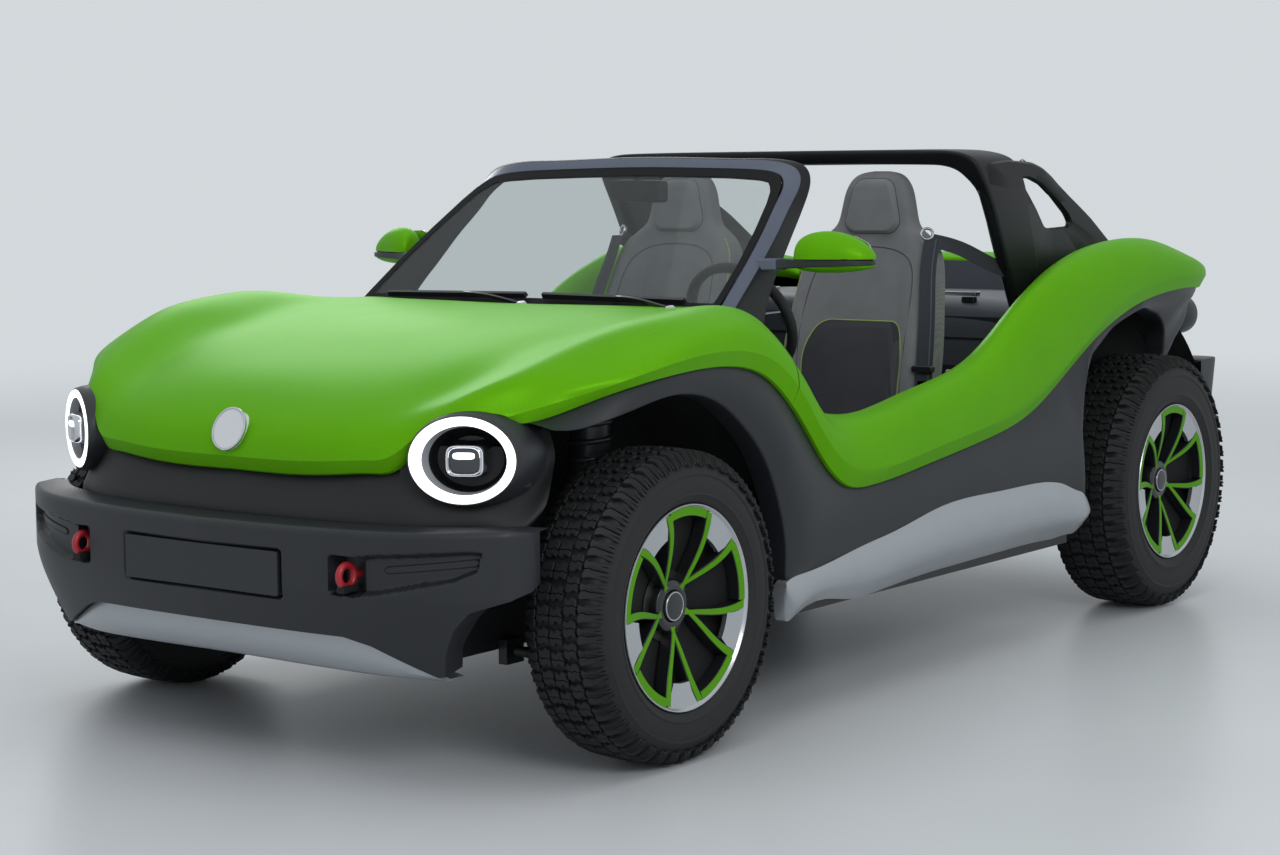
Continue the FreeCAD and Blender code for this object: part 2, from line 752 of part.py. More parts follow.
nodes.append(front_bumper())
nodes.append(feature_of("rear_bumper", bumper(REAR_BUMPER)))
front_skid = skid("front_skid", ((-1980, 330), (-1958, 252), (-1700, 250), (-1700, 262),
                                 (-1880, 262), (-1940, 330)))
rear_skid = skid("rear_skid", ((1962, 528), (1935, 400), (1740, 400), (1740, 412),
                               (1915, 412), (1945, 528)))
nodes.append(together("skid_plates", [front_skid, rear_skid]))


def tow_eye():
    """A flat ring, bored across the vehicle, on a shank against the back of its recess."""
    ring = number("Sizes.tow_eye_radius")
    thick = number("Sizes.tow_eye_thickness")
    bore = number("Sizes.tow_bore_radius")
    place = spot(TOW_X, TOW_Y, TOW_Z)
    base = place - Vector(thick / 2, 0, 0)
    eye = Part.makeCylinder(ring, thick, base, Vector(1, 0, 0))
    back = number(along(TOW_Y)) + ring + 3
    eye = eye.fuse(block(place + Vector(-thick / 2, bore, -13),
                         Vector(place.x + thick / 2, back, place.z + 13)))
    eye = eye.cut(Part.makeCylinder(bore, thick + 2, base - Vector(1, 0, 0), Vector(1, 0, 0)))
    return feature_of("tow_eye_left", eye.removeSplitter())


# ------------------------------------------------------- lamps
def oval_pod(name, centre, half_wide, half_tall, depth, yaw):
    """An oval barrel whose face looks forward, turned outward by yaw degrees."""
    def ring(scale, y):
        ellipse = Part.Ellipse(Vector(0, 0, 0), half_wide * scale, half_tall * scale)
        wire = Part.Wire(ellipse.toShape())
        wire.rotate(Vector(0, 0, 0), Vector(1, 0, 0), 90)
        wire.translate(Vector(0, y, 0))
        return wire
    barrel = Part.makeLoft([ring(0.97, 0), ring(1, 12), ring(0.86, depth)], True, True)
    made = feature_of(name, barrel)
    made.Placement = Placement(centre, Rotation(Vector(0, 0, 1), yaw))
    return made


LAMP = {"centre": (653, -1830, 755), "half_wide": 125, "half_tall": 100, "depth": 50, "turn": 28}
lamp = oval_pod("headlight_left", spot(*LAMP["centre"]), LAMP["half_wide"], LAMP["half_tall"],
                LAMP["depth"], LAMP["turn"])
around = oval_pod("lamp_room", spot(*LAMP["centre"]), LAMP["half_wide"] + 4,
                  LAMP["half_tall"] + 4, LAMP["depth"] + 4, LAMP["turn"])
room_left = around.Shape
room_right = room_left.mirror(Vector(0, 0, 0), Vector(1, 0, 0))
nodes[0].Shape = nodes[0].Shape.cut([room_left, room_right])
doc.removeObject("lamp_room")
nodes.append(together("headlights", [lamp, mirrored("headlight_right", lamp)]))
TAIL_FACE = 1945
TAIL_WALL_BACK = 1780
tail_radius = number("Sizes.tail_lamp_radius")
tail_depth = number(along(TAIL_FACE)) - number(along(TAIL_WALL_BACK))
tail = oval_pod("tail_light_left", spot(TAIL_X, TAIL_FACE, TAIL_Z), tail_radius, tail_radius,
                tail_depth, 180)
nodes.append(together("tail_lights", [tail, mirrored("tail_light_right", tail)]))

hook = tow_eye()
nodes.append(together("tow_hooks", [hook, mirrored("tow_eye_right", hook)]))


# ------------------------------------------------------- door mirrors
MIRROR = (
    # x, front y, rear y, low z, top z
    (648, -470, -420, 1165, 1190),
    (690, -505, -395, 1146, 1228),
    (766, -515, -385, 1138, 1242),
    (830, -500, -390, 1140, 1225),
    (880, -455, -420, 1160, 1182),
)


def door_mirror():
    sections = []
    for x, front, rear, low, top in MIRROR:
        drawn = ((front + 12, low), (front, 0.6 * low + 0.4 * top), (front + 22, top),
                 (rear - 10, top), (rear, 0.5 * low + 0.5 * top), (rear - 8, low))
        sections.append([spot(x, y, z) for y, z in drawn])
    housing = through(sections)
    root = ((633, -525, 1140), (633, -495, 1140), (633, -495, 1164), (633, -525, 1164))
    tip = ((720, -470, 1142), (720, -440, 1142), (720, -440, 1164), (720, -470, 1164))
    arm = through([[spot(*p) for p in root], [spot(*p) for p in tip]])
    return feature_of("door_mirror_left", housing.fuse(arm).removeSplitter())


mirror = door_mirror()
nodes.append(together("door_mirrors", [mirror, mirrored("door_mirror_right", mirror)]))


# ------------------------------------------------------- seats and belts
def seat(name):
    body = new_body(name)
    side = [(along(-170), up(470)), (along(-175), up(555)), (along(-130), up(580)),
            (along(150), up(548)), (along(262), up(575)), (along(318), up(760)),
            (along(372), up(1060)), (along(400), up(1225)), (along(498), up(1225)),
            (along(470), up(900)), (along(410), up(560)), (along(360), up(FLOOR_Z)),
            (along(-60), up(FLOOR_Z)), (along(-60), up(470))]
    centre = across("Sizes.seat_offset")
    half = "Sizes.seat_width / 2"
    pad(body, "bucket", "x", side, f"{centre} - {half}", f"{centre} + {half}")
    head = [(along(400), up(1225)), (along(412), up(1300)), (along(424), up(1390)),
            (along(492), up(1388)), (along(498), up(1225))]
    pad(body, "headrest", "x", head, f"{centre} - {half} * 0.54", f"{centre} + {half} * 0.54")
    return body


nodes.append(seat("seat_left"))
nodes.append(mirrored("seat_right", nodes[-1]))


def belt():
    """A strap from the hoop over the seat's shoulder and down to the buckle."""
    wide = number("Sizes.belt_width")
    thick = number("Sizes.belt_thickness")
    edge = number(across("Sizes.seat_offset")) + number("Sizes.seat_width / 2 - Sizes.strap_inset")
    path = ((318, 760), (372, 1060), (394, 1190))
    sections = []
    for y, z in path:
        p = spot(0, y, z)
        sections.append([Vector(edge - wide, p.y, p.z), Vector(edge, p.y, p.z),
                         Vector(edge, p.y - thick, p.z), Vector(edge - wide, p.y - thick, p.z)])
    return feature_of("belt_left", through(sections))


strap = belt()
nodes.append(together("seat_belts", [strap, mirrored("belt_right", strap)]))

# ------------------------------------------------------- wheels
FLANGE = 8
BULGE = 10


def corner(end):
    """A wheel's centre on the vehicle's left."""
    return Vector(number(f"Sizes.track_{end}") / 2, number(WHEEL_Y[end]), number(WHEEL_Z[end]))


def tyre(end):
    body = new_body(f"tyre_{end}_left")
    half = f"(Sizes.tyre_width_{end} / 2)"
    radius = f"Sizes.tyre_radius_{end}"
    bead = "Sizes.bead_radius"
    outline = []
    for sign in (-1, 1):
        side = [(f"{sign} * ({half} - {BULGE + FLANGE + 1})", bead),
                (f"{sign} * ({half} - {BULGE + FLANGE + 1})", "Sizes.rim_radius + 1"),
                (f"{sign} * ({half} - 8)", "Sizes.rim_radius + 12"),
                (f"{sign} * {half}", f"({bead} + {radius}) / 2"),
                (f"{sign} * ({half} - 10)", f"{radius} - 26"),
                (f"{sign} * ({half} - 32)", f"{radius} - 3")]
        outline += side if sign < 0 else side[::-1]
    outline.insert(6, ("0", radius))
    outline += [(f"{half} - {BULGE + FLANGE + 20}", bead), (f"{half} - 22", f"{bead} + 45"),
                (f"{half} - 40", f"{radius} - 34"), (f"-{half} + 40", f"{radius} - 34"),
                (f"-{half} + 22", f"{bead} + 45"), (f"-{half} + {BULGE + FLANGE + 20}", bead)]
    turned(body, "carcass", outline)
    body.Placement = Placement(corner(end), Rotation())
    return body


HUB_FACE = 33
SPOKES = 5


def wheel(end):
    """Barrel, hub pad and a spoked face. x is measured out from the tyre's middle."""
    body = new_body(f"wheel_{end}_left")
    half = f"(Sizes.tyre_width_{end} / 2 - {BULGE})"
    seat_r = "(Sizes.bead_radius - Sizes.pin_play)"
    inner = "(Sizes.bead_radius - Sizes.rim_wall)"
    rim = "Sizes.rim_radius"
    hub = "Sizes.hub_radius"
    outline = [(f"-{half}", inner), (f"-{half}", rim), (f"-{half} + {FLANGE}", rim),
               (f"-{half} + {FLANGE}", seat_r), (f"{half} - {FLANGE}", seat_r),
               (f"{half} - {FLANGE}", rim), (half, rim), (half, f"{rim} - 14"),
               (f"{half} - 12", f"{inner} - 6"), (f"{half} - 30", "100"), (f"{half} - 30", "0"),
               (f"{HUB_FACE}", "0"), (f"{HUB_FACE}", hub), (f"{HUB_FACE} + 12", hub),
               (f"{half} - 30 - Sizes.spoke_depth", "100"),
               (f"{half} - 18 - Sizes.spoke_depth", inner)]
    turned(body, "rim_and_face", outline)
    window = [("26", "92"), ("60", f"{inner} - 28"), ("0", f"{inner} - 16"),
              ("-60", f"{inner} - 28"), ("-26", "92")]
    cut = pocket(body, "window", "x", window, f"{HUB_FACE} + 14", half)
    doc.recompute()
    pattern = body.newObject("PartDesign::PolarPattern", "windows")
    pattern.Originals = [cut]
    pattern.Axis = (origin_part(body, "X_Axis"), [""])
    pattern.Angle = 360
    pattern.Occurrences = SPOKES
    body.Tip = pattern
    doc.recompute()
    body.Placement = Placement(corner(end), Rotation())
    return body


SPINDLE_END = 3
AXLE_BORE = "(Sizes.axle_shaft_radius + Sizes.pin_play)"


def brake_disc(end):
    """Friction ring, hat and bearing hub as one turning. The front hub runs on the
    knuckle's spindle; the rear one carries the axle shaft."""
    body = new_body(f"brake_disc_{end}_left")
    bore = "(Sizes.spindle_radius + Sizes.pin_play)" if end == "front" else AXLE_BORE
    disc = "Sizes.disc_radius"
    face = f"{HUB_FACE} - Sizes.disc_thickness"
    outline = [(f"{HUB_FACE}", bore), (f"{HUB_FACE}", "Sizes.hub_radius + 24"),
               (f"{face}", "Sizes.hub_radius + 24"), (f"{face}", disc),
               (f"{face} - Sizes.disc_thickness", disc), (f"{face} - Sizes.disc_thickness", "90"),
               (f"{face} - 6", "78"), (f"{face} - 6", "52"), ("-22", "52"), ("-22", bore)]
    turned(body, "rotor", outline)
    body.Placement = Placement(corner(end), Rotation())
    return body


def axle_shaft():
    """From the drive unit out to the hub of the rear wheel."""
    place = corner("rear")
    start = Vector(DRIVE_HALF + number("Sizes.seat_gap"), place.y, place.z)
    end = Vector(place.x + HUB_FACE - SPINDLE_END, place.y, place.z)
    shape = rod(start, end, number("Sizes.axle_shaft_radius"))
    cup = rod(start, start + Vector(70, 0, 0), 42)
    return feature_of("axle_shaft_left", shape.fuse(cup).removeSplitter())


for wheel_end in ("front", "rear"):
    for piece in (tyre(wheel_end), wheel(wheel_end), brake_disc(wheel_end)):
        nodes.append(piece)
        nodes.append(mirrored(piece.Label.replace("left", "right"), piece))
nodes.append(axle_shaft())
nodes.append(mirrored("axle_shaft_right", nodes[-1]))


# ------------------------------------------------------- knuckles and suspension
def kingpin(end="front"):
    """The steering axis at wheel height."""
    place = corner(end)
    return Vector(place.x - number("Sizes.kingpin_inset"), place.y, place.z)


def knuckle():
    """Upright, spindle, steering arm and caliper, turning on pins above and below."""
    axis = kingpin()
    place = corner("front")
    tall = number("Sizes.ball_height")
    pin = number("Sizes.kingpin_radius")
    arm = number("Sizes.steering_arm")
    shape = block(axis + Vector(-18, -34, -tall + 22), axis + Vector(18, 34, tall - 22))
    ring_end = place.x - 22 - number("Sizes.moving_gap")
    shape = shape.fuse(rod(axis, Vector(ring_end, place.y, place.z), 48))
    tip = Vector(place.x + HUB_FACE - SPINDLE_END, place.y, place.z)
    shape = shape.fuse(rod(axis, tip, number("Sizes.spindle_radius")))
    for sign in (-1, 1):
        shape = shape.fuse(rod(axis + Vector(0, 0, sign * (tall - 30)),
                               axis + Vector(0, 0, sign * (tall + 14)), pin))
    lever = block(axis + Vector(-30, 20, -60), axis + Vector(-10, arm + 20, -44))
    shape = shape.fuse([lever, block(axis + Vector(-30, 20, -60), axis + Vector(18, 34, -44))])
    return feature_of("knuckle_left", shape.removeSplitter())


def rear_knuckle():
    place = corner("rear")
    x = place.x - 60
    bore = number("Sizes.axle_shaft_radius") + number("Sizes.pin_play")
    centre = Vector(x, place.y, place.z)
    shape = block(centre + Vector(-20, -50, -150), centre + Vector(20, 50, 150))
    shape = shape.fuse(rod(centre, Vector(place.x - 22 - number("Sizes.moving_gap"), place.y,
                                          place.z), 48))
    shape = shape.cut(rod(centre - Vector(50, 0, 0), centre + Vector(80, 0, 0), bore))
    return feature_of("rear_knuckle_left", shape.removeSplitter())


nodes.append(knuckle())
nodes.append(mirrored("knuckle_right", nodes[-1]))
hub_carrier = rear_knuckle()
nodes.append(together("rear_knuckles", [hub_carrier, mirrored("rear_knuckle_right", hub_carrier)]))


def wishbone(name, apex, feet, boss_low, boss_high):
    """A boss round the kingpin with a leg to each foot on the tub's wall."""
    pin = number("Sizes.kingpin_radius") + number("Sizes.pin_play")
    wall = number("Sizes.front_tub_half")
    boss = Part.makeCylinder(24, boss_high - boss_low, Vector(apex.x, apex.y, boss_low))
    shape = boss
    for foot in feet:
        shape = shape.fuse(rod(apex, foot, 13))
        shape = shape.fuse(block(Vector(wall, foot.y - 32, foot.z - 30),
                                 Vector(wall + 26, foot.y + 32, foot.z + 30)))
    hole = Part.makeCylinder(pin, boss_high - boss_low + 2, Vector(apex.x, apex.y, boss_low - 1))
    return feature_of(name, shape.cut(hole).removeSplitter())


# Where the damper stands: inboard of the kingpin, and above the lower ball joint.
STRUT_FOOT = 140
STRUT_HEAD = 95
STRUT_SEAT = 36
# The round ends of the leaning strut dip by this much at one edge.
STRUT_DIP = 1.3


def front_arms():
    axis = kingpin()
    tall = number("Sizes.ball_height")
    wall = number("Sizes.front_tub_half")
    gap = number("Sizes.joint_gap")
    pieces = []
    for name, sign, spread, rise in (("lower", -1, 165, 40), ("upper", 1, 150, -20)):
        level = axis.z + sign * tall
        apex = Vector(axis.x, axis.y, level)
        feet = [Vector(wall + 13, axis.y + side * spread, level + rise) for side in (-1, 1)]
        low = level - 14 if sign < 0 else axis.z + tall - 22 + gap
        high = axis.z - tall + 22 - gap if sign < 0 else level + 14
        pieces.append(wishbone(f"{name}_arm_left", apex, feet, low, high))
    seat = axis + Vector(-STRUT_FOOT, 0, STRUT_SEAT - tall)
    bar = block(seat + Vector(-25, -112, -14), seat + Vector(25, 112, 0))
    pieces[0].Shape = pieces[0].Shape.fuse(bar).removeSplitter()
    return pieces


arms = front_arms()
arms += [mirrored(arm.Label.replace("left", "right"), arm) for arm in arms]


def rear_arms():
    """A frame under the luggage box that holds the drive unit and the rear links."""
    place = corner("rear")
    x = place.x - 85.3
    top = number(up(620))
    wide = 400
    shape = block(Vector(-wide, place.y - 200, top - 50), Vector(wide, place.y + 220, top))
    for sign in (-1, 1):
        for y in (-190, 185):
            low = Vector(min(sign * 300, sign * 345), place.y + y - 25, place.z - 120)
            high = Vector(max(sign * 300, sign * 345), place.y + y + 25, top)
            shape = shape.fuse(block(low, high))
            for z, foot in ((-120, -95), (90, 110)) if y < 0 else ((-120, -95),):
                start = Vector(sign * 322, place.y + y, place.z + foot)
                shape = shape.fuse(rod(start, Vector(sign * x, place.y + y * 0.2,
                                                     place.z + z), 16))
    return feature_of("rear_suspension", shape.removeSplitter())


nodes.append(rear_arms())


def rack():
    """The rack bar with its two tie rods, which slides along X."""
    axis = kingpin()
    y = axis.y + RACK_Y
    z = axis.z + RACK_Z
    radius = number("Sizes.rack_radius")
    reach = axis.x - 20
    shape = rod(Vector(-reach, y, z), Vector(reach, y, z), radius)
    for sign in (-1, 1):
        eye = Part.makeCylinder(17, 2 * radius - 4, Vector(sign * reach, y, z - radius + 2))
        shape = shape.fuse(eye)
    return feature_of("steering_rack", shape.removeSplitter())


def rack_housing():
    axis = kingpin()
    y = axis.y + RACK_Y
    z = axis.z + RACK_Z
    half = number("Sizes.front_tub_half") - number("Sizes.tub_wall")
    bore = number("Sizes.rack_radius") + number("Sizes.pin_play")
    tube = rod(Vector(-half, y, z), Vector(half, y, z), 28)
    return feature_of("rack_housing", tube.cut(rod(Vector(-half - 1, y, z), Vector(half + 1, y, z), bore)))


nodes.append(rack())
housing = rack_housing()
nodes.append(together("front_suspension", arms + [housing]))


def strut(name, foot, head):
    """A damper with its coil drawn as one sleeve."""
    line = head - foot
    unit = line.normalize()
    length = (head - foot).Length
    shape = rod(foot, head, number("Sizes.damper_radius"))
    coil = rod(foot + unit * 0.42 * length, foot + unit * (length - 14), number("Sizes.coil_radius"))
    return feature_of(name, shape.fuse(coil).removeSplitter())


def struts():
    axis = kingpin()
    low_arm = axis.z - number("Sizes.ball_height") + STRUT_SEAT
    tip = number("Sizes.joint_gap") + STRUT_DIP
    front = strut("front_strut_left", Vector(axis.x - STRUT_FOOT, axis.y, low_arm + tip),
                  Vector(axis.x - STRUT_HEAD, axis.y, number(up(862)) - tip))
    place = corner("rear")
    rear = strut("rear_strut_left", Vector(place.x - 190, place.y + 77, place.z - 95.2),
                 Vector(place.x - 202, place.y + 77, number(up(620)) - tip))
    return [front, rear]


coils = struts()
coils += [mirrored(coil.Label.replace("left", "right"), coil) for coil in coils]
nodes.append(together("spring_struts", coils))

# ------------------------------------------------------- check and write
doc.recompute()
for item in doc.Objects:
    if "Invalid" in item.State or "Error" in item.State:
        raise RuntimeError(f"{item.Label} did not build: {item.State}")
os.makedirs("parts", exist_ok=True)
for node in nodes:
    if node.Shape.isNull() or not node.Shape.isValid():
        raise RuntimeError(f"{node.Label} is not a valid shape")
    node.Shape.exportStep(f"parts/{node.Label}.step")
    box = node.Shape.BoundBox
    print(f"{node.Label}: {len(node.Shape.Solids)} solids, x {box.XMin:.0f} {box.XMax:.0f}, "
          f"y {box.YMin:.0f} {box.YMax:.0f}, z {box.ZMin:.0f} {box.ZMax:.0f}")
print(len(nodes), "nodes")
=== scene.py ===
# %% [markdown]
# # An open dune buggy
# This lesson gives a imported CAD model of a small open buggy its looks. The CAD model
# stays fixed as a frame: each new piece is made from arrays of points in metres, in the
# CAD model's own coordinates (+X the vehicle's left, -Y its front, +Z up), and then rides
# on one of its bodies. The drawing tables below are in millimetres.

# %% Load the frame
import math

import bmesh
import bpy
import numpy as np
from mathutils import Matrix


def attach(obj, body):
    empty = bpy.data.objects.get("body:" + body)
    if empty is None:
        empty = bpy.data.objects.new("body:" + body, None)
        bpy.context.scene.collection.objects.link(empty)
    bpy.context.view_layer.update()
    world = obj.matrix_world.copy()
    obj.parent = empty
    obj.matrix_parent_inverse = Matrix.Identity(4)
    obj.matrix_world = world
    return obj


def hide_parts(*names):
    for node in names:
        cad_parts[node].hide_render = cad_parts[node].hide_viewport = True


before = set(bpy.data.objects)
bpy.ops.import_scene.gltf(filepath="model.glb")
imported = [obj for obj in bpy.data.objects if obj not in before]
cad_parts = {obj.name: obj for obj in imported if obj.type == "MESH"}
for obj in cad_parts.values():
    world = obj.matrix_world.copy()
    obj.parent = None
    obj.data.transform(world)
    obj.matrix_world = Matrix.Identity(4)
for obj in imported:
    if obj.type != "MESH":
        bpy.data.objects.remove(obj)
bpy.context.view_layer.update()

# %% [markdown]
# ## Camera, floor and light
# The camera stands low at the front left corner, as a visitor to a showroom would, with
# a short telephoto lens that keeps the proportions calm. The floor is pale and slightly
# polished. Light comes from wide soft boxes overhead and at the sides, because a curved
# painted body is read through the soft edges of what it mirrors.

# %% Camera
CAMERA_PLACE = (4.318, -6.02, 1.396)
CAMERA_YAW, CAMERA_PITCH, CAMERA_ROLL = 0.646, -0.102, -0.007
LENS = 69.77

camera_data = bpy.data.cameras.new("camera")
camera_data.lens = LENS
camera_data.sensor_width = 36
camera_data.clip_end = 200
camera = bpy.data.objects.new("camera", camera_data)
bpy.context.scene.collection.objects.link(camera)
# An unturned camera looks down. It is raised to the horizon and by its pitch, turned about
# the vertical by its yaw, and rolled about its line of sight.
camera.matrix_world = (
    Matrix.Translation(CAMERA_PLACE) @ Matrix.Rotation(CAMERA_YAW, 4, "Z")
    @ Matrix.Rotation(math.pi / 2 + CAMERA_PITCH, 4, "X") @ Matrix.Rotation(CAMERA_ROLL, 4, "Z"))
bpy.context.scene.camera = camera
bpy.context.scene.view_settings.view_transform = "Standard"
print("lens", LENS, "mm")

# %% Colours and nodes
def linear(code):
    """sRGB hex to linear: c / 12.92 below 0.04045, else ((c + 0.055) / 1.055) ** 2.4."""
    srgb = np.array([int(code[k:k + 2], 16) for k in (1, 3, 5)]) / 255
    value = np.where(srgb < 0.04045, srgb / 12.92, ((srgb + 0.055) / 1.055) ** 2.4)
    return (*value.tolist(), 1.0)


def add_node(tree, kind, sockets=None, **settings):
    """Add a node, set its own settings, then each socket to a value or to a link."""
    node = tree.nodes.new("ShaderNode" + kind)
    for key, value in settings.items():
        setattr(node, key, value)
    for key, value in (sockets or {}).items():
        if isinstance(value, bpy.types.NodeSocket):
            tree.links.new(value, node.inputs[key])
        else:
            node.inputs[key].default_value = value
    return node


def new_material(name, sockets):
    """A material whose Principled shader has these socket values."""
    material = bpy.data.materials.new(name)
    material.use_nodes = True
    shader = material.node_tree.nodes["Principled BSDF"]
    for key, value in sockets.items():
        shader.inputs[key].default_value = value
    material.diffuse_color = sockets.get("Base Color", (0.5, 0.5, 0.5, 1))
    return material, material.node_tree, shader


def object_place(tree, scale=(1, 1, 1)):
    """Object coordinates, stretched by scale."""
    place = add_node(tree, "TexCoord").outputs["Object"]
    return add_node(tree, "Mapping", {"Vector": place, "Scale": scale}).outputs[0]


def per_mm(size):
    """Texture scale whose features are about size millimetres across."""
    return 1000 / size


def grained(name, colour, other, grain, rough, bump=0.1, depth=0.0004, patch=90.0, **more):
    """A base colour that drifts a little towards another over patches some centimetres
    wide, with a fine grain in its height and roughness. grain and patch are in mm."""
    sockets = {"Base Color": linear(colour), "Roughness": rough}
    sockets.update({key.replace("_", " "): value for key, value in more.items()})
    material, tree, shader = new_material(name, sockets)
    place = object_place(tree)
    wide = add_node(tree, "TexNoise", {"Vector": place, "Scale": per_mm(patch), "Detail": 3.0})
    fine = add_node(tree, "TexNoise", {"Vector": place, "Scale": per_mm(grain), "Detail": 4.0,
                                       "Roughness": 0.6})
    tint = add_node(tree, "Mix", {"Factor": wide.outputs[0], "A": linear(colour),
                                  "B": linear(other)}, data_type="RGBA")
    tree.links.new(tint.outputs["Result"], shader.inputs["Base Color"])
    worn = add_node(tree, "MapRange", {"Value": fine.outputs[0], "From Min": 0.3, "From Max": 0.7,
                                       "To Min": rough - 0.05, "To Max": rough + 0.05})
    tree.links.new(worn.outputs[0], shader.inputs["Roughness"])
    relief = add_node(tree, "Bump", {"Height": fine.outputs[0], "Strength": bump,
                                     "Distance": depth})
    tree.links.new(relief.outputs[0], shader.inputs["Normal"])
    return material

# %% [markdown]
# ## Mesh helpers
# Nearly every piece is a grid of points: a function of two parameters worked out for
# the whole grid at once. A shape is kept as a pair, its points and a list of face arrays,
# so that several can be joined into one mesh before Blender sees them.

# %% Grids and splines
def mm(rows):
    """Millimetres to metres, as an array."""
    return np.array(rows, float) / 1000


def numbers(text, *shape):
    """A drawing table written as plain numbers, as an array of rows of this shape."""
    return np.array(text.split(), float).reshape(-1, *shape)


def grid_faces(rows, cols, wrap_rows=False, wrap_cols=False):
    """Quads between neighbours of a grid whose point (i, j) has number i * cols + j."""
    i, j = np.meshgrid(np.arange(rows - (not wrap_rows)), np.arange(cols - (not wrap_cols)),
                       indexing="ij")
    below, beside = (i + 1) % rows, (j + 1) % cols
    return np.stack([i * cols + j, below * cols + j, below * cols + beside, i * cols + beside],
                    -1).reshape(-1, 4)


def grid(points, wrap_rows=False, wrap_cols=False, cap_rows=False, flip=False):
    """A shape from an array of rows x cols x 3. cap_rows closes the first and last row
    with one face each, for a tube whose columns wrap."""
    points = np.asarray(points, float)
    rows, cols = points.shape[:2]
    faces = [grid_faces(rows, cols, wrap_rows, wrap_cols)]
    if cap_rows:
        faces += [np.arange(cols)[None, :], (rows - 1) * cols + np.arange(cols)[None, ::-1]]
    if flip:
        faces = [face[:, ::-1] for face in faces]
    return points.reshape(-1, 3), faces


def tube(rings):
    """Closed rings of points, skinned and shut at both ends."""
    return grid(rings, wrap_cols=True, cap_rows=True)


def joined(*shapes):
    """Several shapes as one: each one's face numbers move up by the points before it."""
    starts = np.cumsum([0] + [len(points) for points, _ in shapes])
    faces = [face + start for (_, group), start in zip(shapes, starts) for face in group]
    return np.concatenate([points for points, _ in shapes]), faces


def flipped(shape):
    """The mirror image over x = 0, with its faces turned so that they still look out."""
    points, faces = shape
    return points * (-1, 1, 1), [face[:, ::-1] for face in faces]


def both_sides(shape):
    """A shape and its mirror image."""
    return joined(shape, flipped(shape))


def by_side(shape):
    """The two side names, each with its own shape."""
    return ("left", shape), ("right", flipped(shape))


def spline(knots, rows, places):
    """The natural cubic spline through rows at knots, read at places: between two knots
    it is the straight line plus the cubic of the end curvatures, which make the slope
    run on evenly through every knot and are zero at both ends."""
    knots, rows, places = (np.asarray(a, float) for a in (knots, rows, places))
    count, step = len(knots), np.diff(knots)
    shape = (-1,) + (1,) * (rows.ndim - 1)
    slope = np.diff(rows, axis=0) / step.reshape(shape)
    system = np.eye(count)
    inner = np.arange(1, count - 1)
    system[inner, inner - 1] = step[:-1]
    system[inner, inner] = 2 * (step[:-1] + step[1:])
    system[inner, inner + 1] = step[1:]
    right = np.zeros_like(rows)
    right[1:-1] = 6 * np.diff(slope, axis=0)
    bend = np.linalg.solve(system, right.reshape(count, -1)).reshape(rows.shape)
    k = np.clip(np.searchsorted(knots, places, side="right") - 1, 0, count - 2)
    h = step[k].reshape(shape)
    b = ((places - knots[k]) / step[k]).reshape(shape)
    a = 1 - b
    return (a * rows[k] + b * rows[k + 1]
            + ((a ** 3 - a) * bend[k] + (b ** 3 - b) * bend[k + 1]) * h * h / 6)


def knots_of(rows):
    """Knots spaced by the mean distance from each row of points to the next."""
    rows = np.asarray(rows, float)
    gaps = np.linalg.norm(np.diff(rows, axis=0), axis=-1)
    return np.concatenate([[0], np.cumsum(gaps.reshape(len(gaps), -1).mean(1))])


def between(knots, steps):
    """Each gap between knots cut into equal steps, ends included."""
    index = np.arange((len(knots) - 1) * steps + 1) / steps
    return np.interp(index, np.arange(len(knots)), knots)


def smooth_line(rows, steps=12, knots=None):
    """A smooth line through points, or a smooth run of sections, with steps places in each
    gap. The knots are knots_of the rows unless given."""
    knots = knots_of(rows) if knots is None else knots
    return spline(knots, rows, between(knots, steps))


def smooth_across(rows, table, steps):
    """Rows made smooth across too, with the knots of the coarse table's columns."""
    knots = knots_of(table.swapaxes(0, 1))
    return smooth_line(rows.swapaxes(0, 1), steps, knots).swapaxes(0, 1)


def smooth_grid(table, steps_down=8, steps_across=8):
    """A smooth surface through a table of points: splines down its columns, then across."""
    return smooth_across(smooth_line(table, steps_down), table, steps_across)


def lengthwise(points, count):
    """A line read again at count places that are evenly spaced along its length."""
    points = np.asarray(points, float)
    run = np.concatenate([[0], np.cumsum(np.linalg.norm(np.diff(points, axis=0), axis=1))])
    at = np.linspace(0, run[-1], count)
    return np.stack([np.interp(at, run, points[:, k]) for k in range(points.shape[1])], 1)


def ring(count):
    """Angles of count even places round a circle."""
    return np.arange(count) * 2 * np.pi / count


def rounded(outline, radius, steps=5):
    """Closed outlines of corners, as an array (..., corners, coordinates), with each corner
    rounded: it is replaced by the quadratic curve a*a*P + 2*a*b*C + b*b*Q from a point P
    one radius before corner C to Q one radius after, with b from 0 to 1 and a = 1 - b."""
    corners = np.asarray(outline, float)
    radius = np.broadcast_to(np.asarray(radius, float), corners.shape[:-1])[..., None]
    back = np.roll(corners, 1, -2) - corners
    ahead = np.roll(corners, -1, -2) - corners
    start = corners + back / np.linalg.norm(back, axis=-1, keepdims=True) * radius
    end = corners + ahead / np.linalg.norm(ahead, axis=-1, keepdims=True) * radius
    b = np.linspace(0, 1, steps + 1)[:, None]
    a = 1 - b
    curve = (a * a * start[..., None, :] + 2 * a * b * corners[..., None, :]
             + b * b * end[..., None, :])
    return curve.reshape(*corners.shape[:-2], -1, corners.shape[-1])


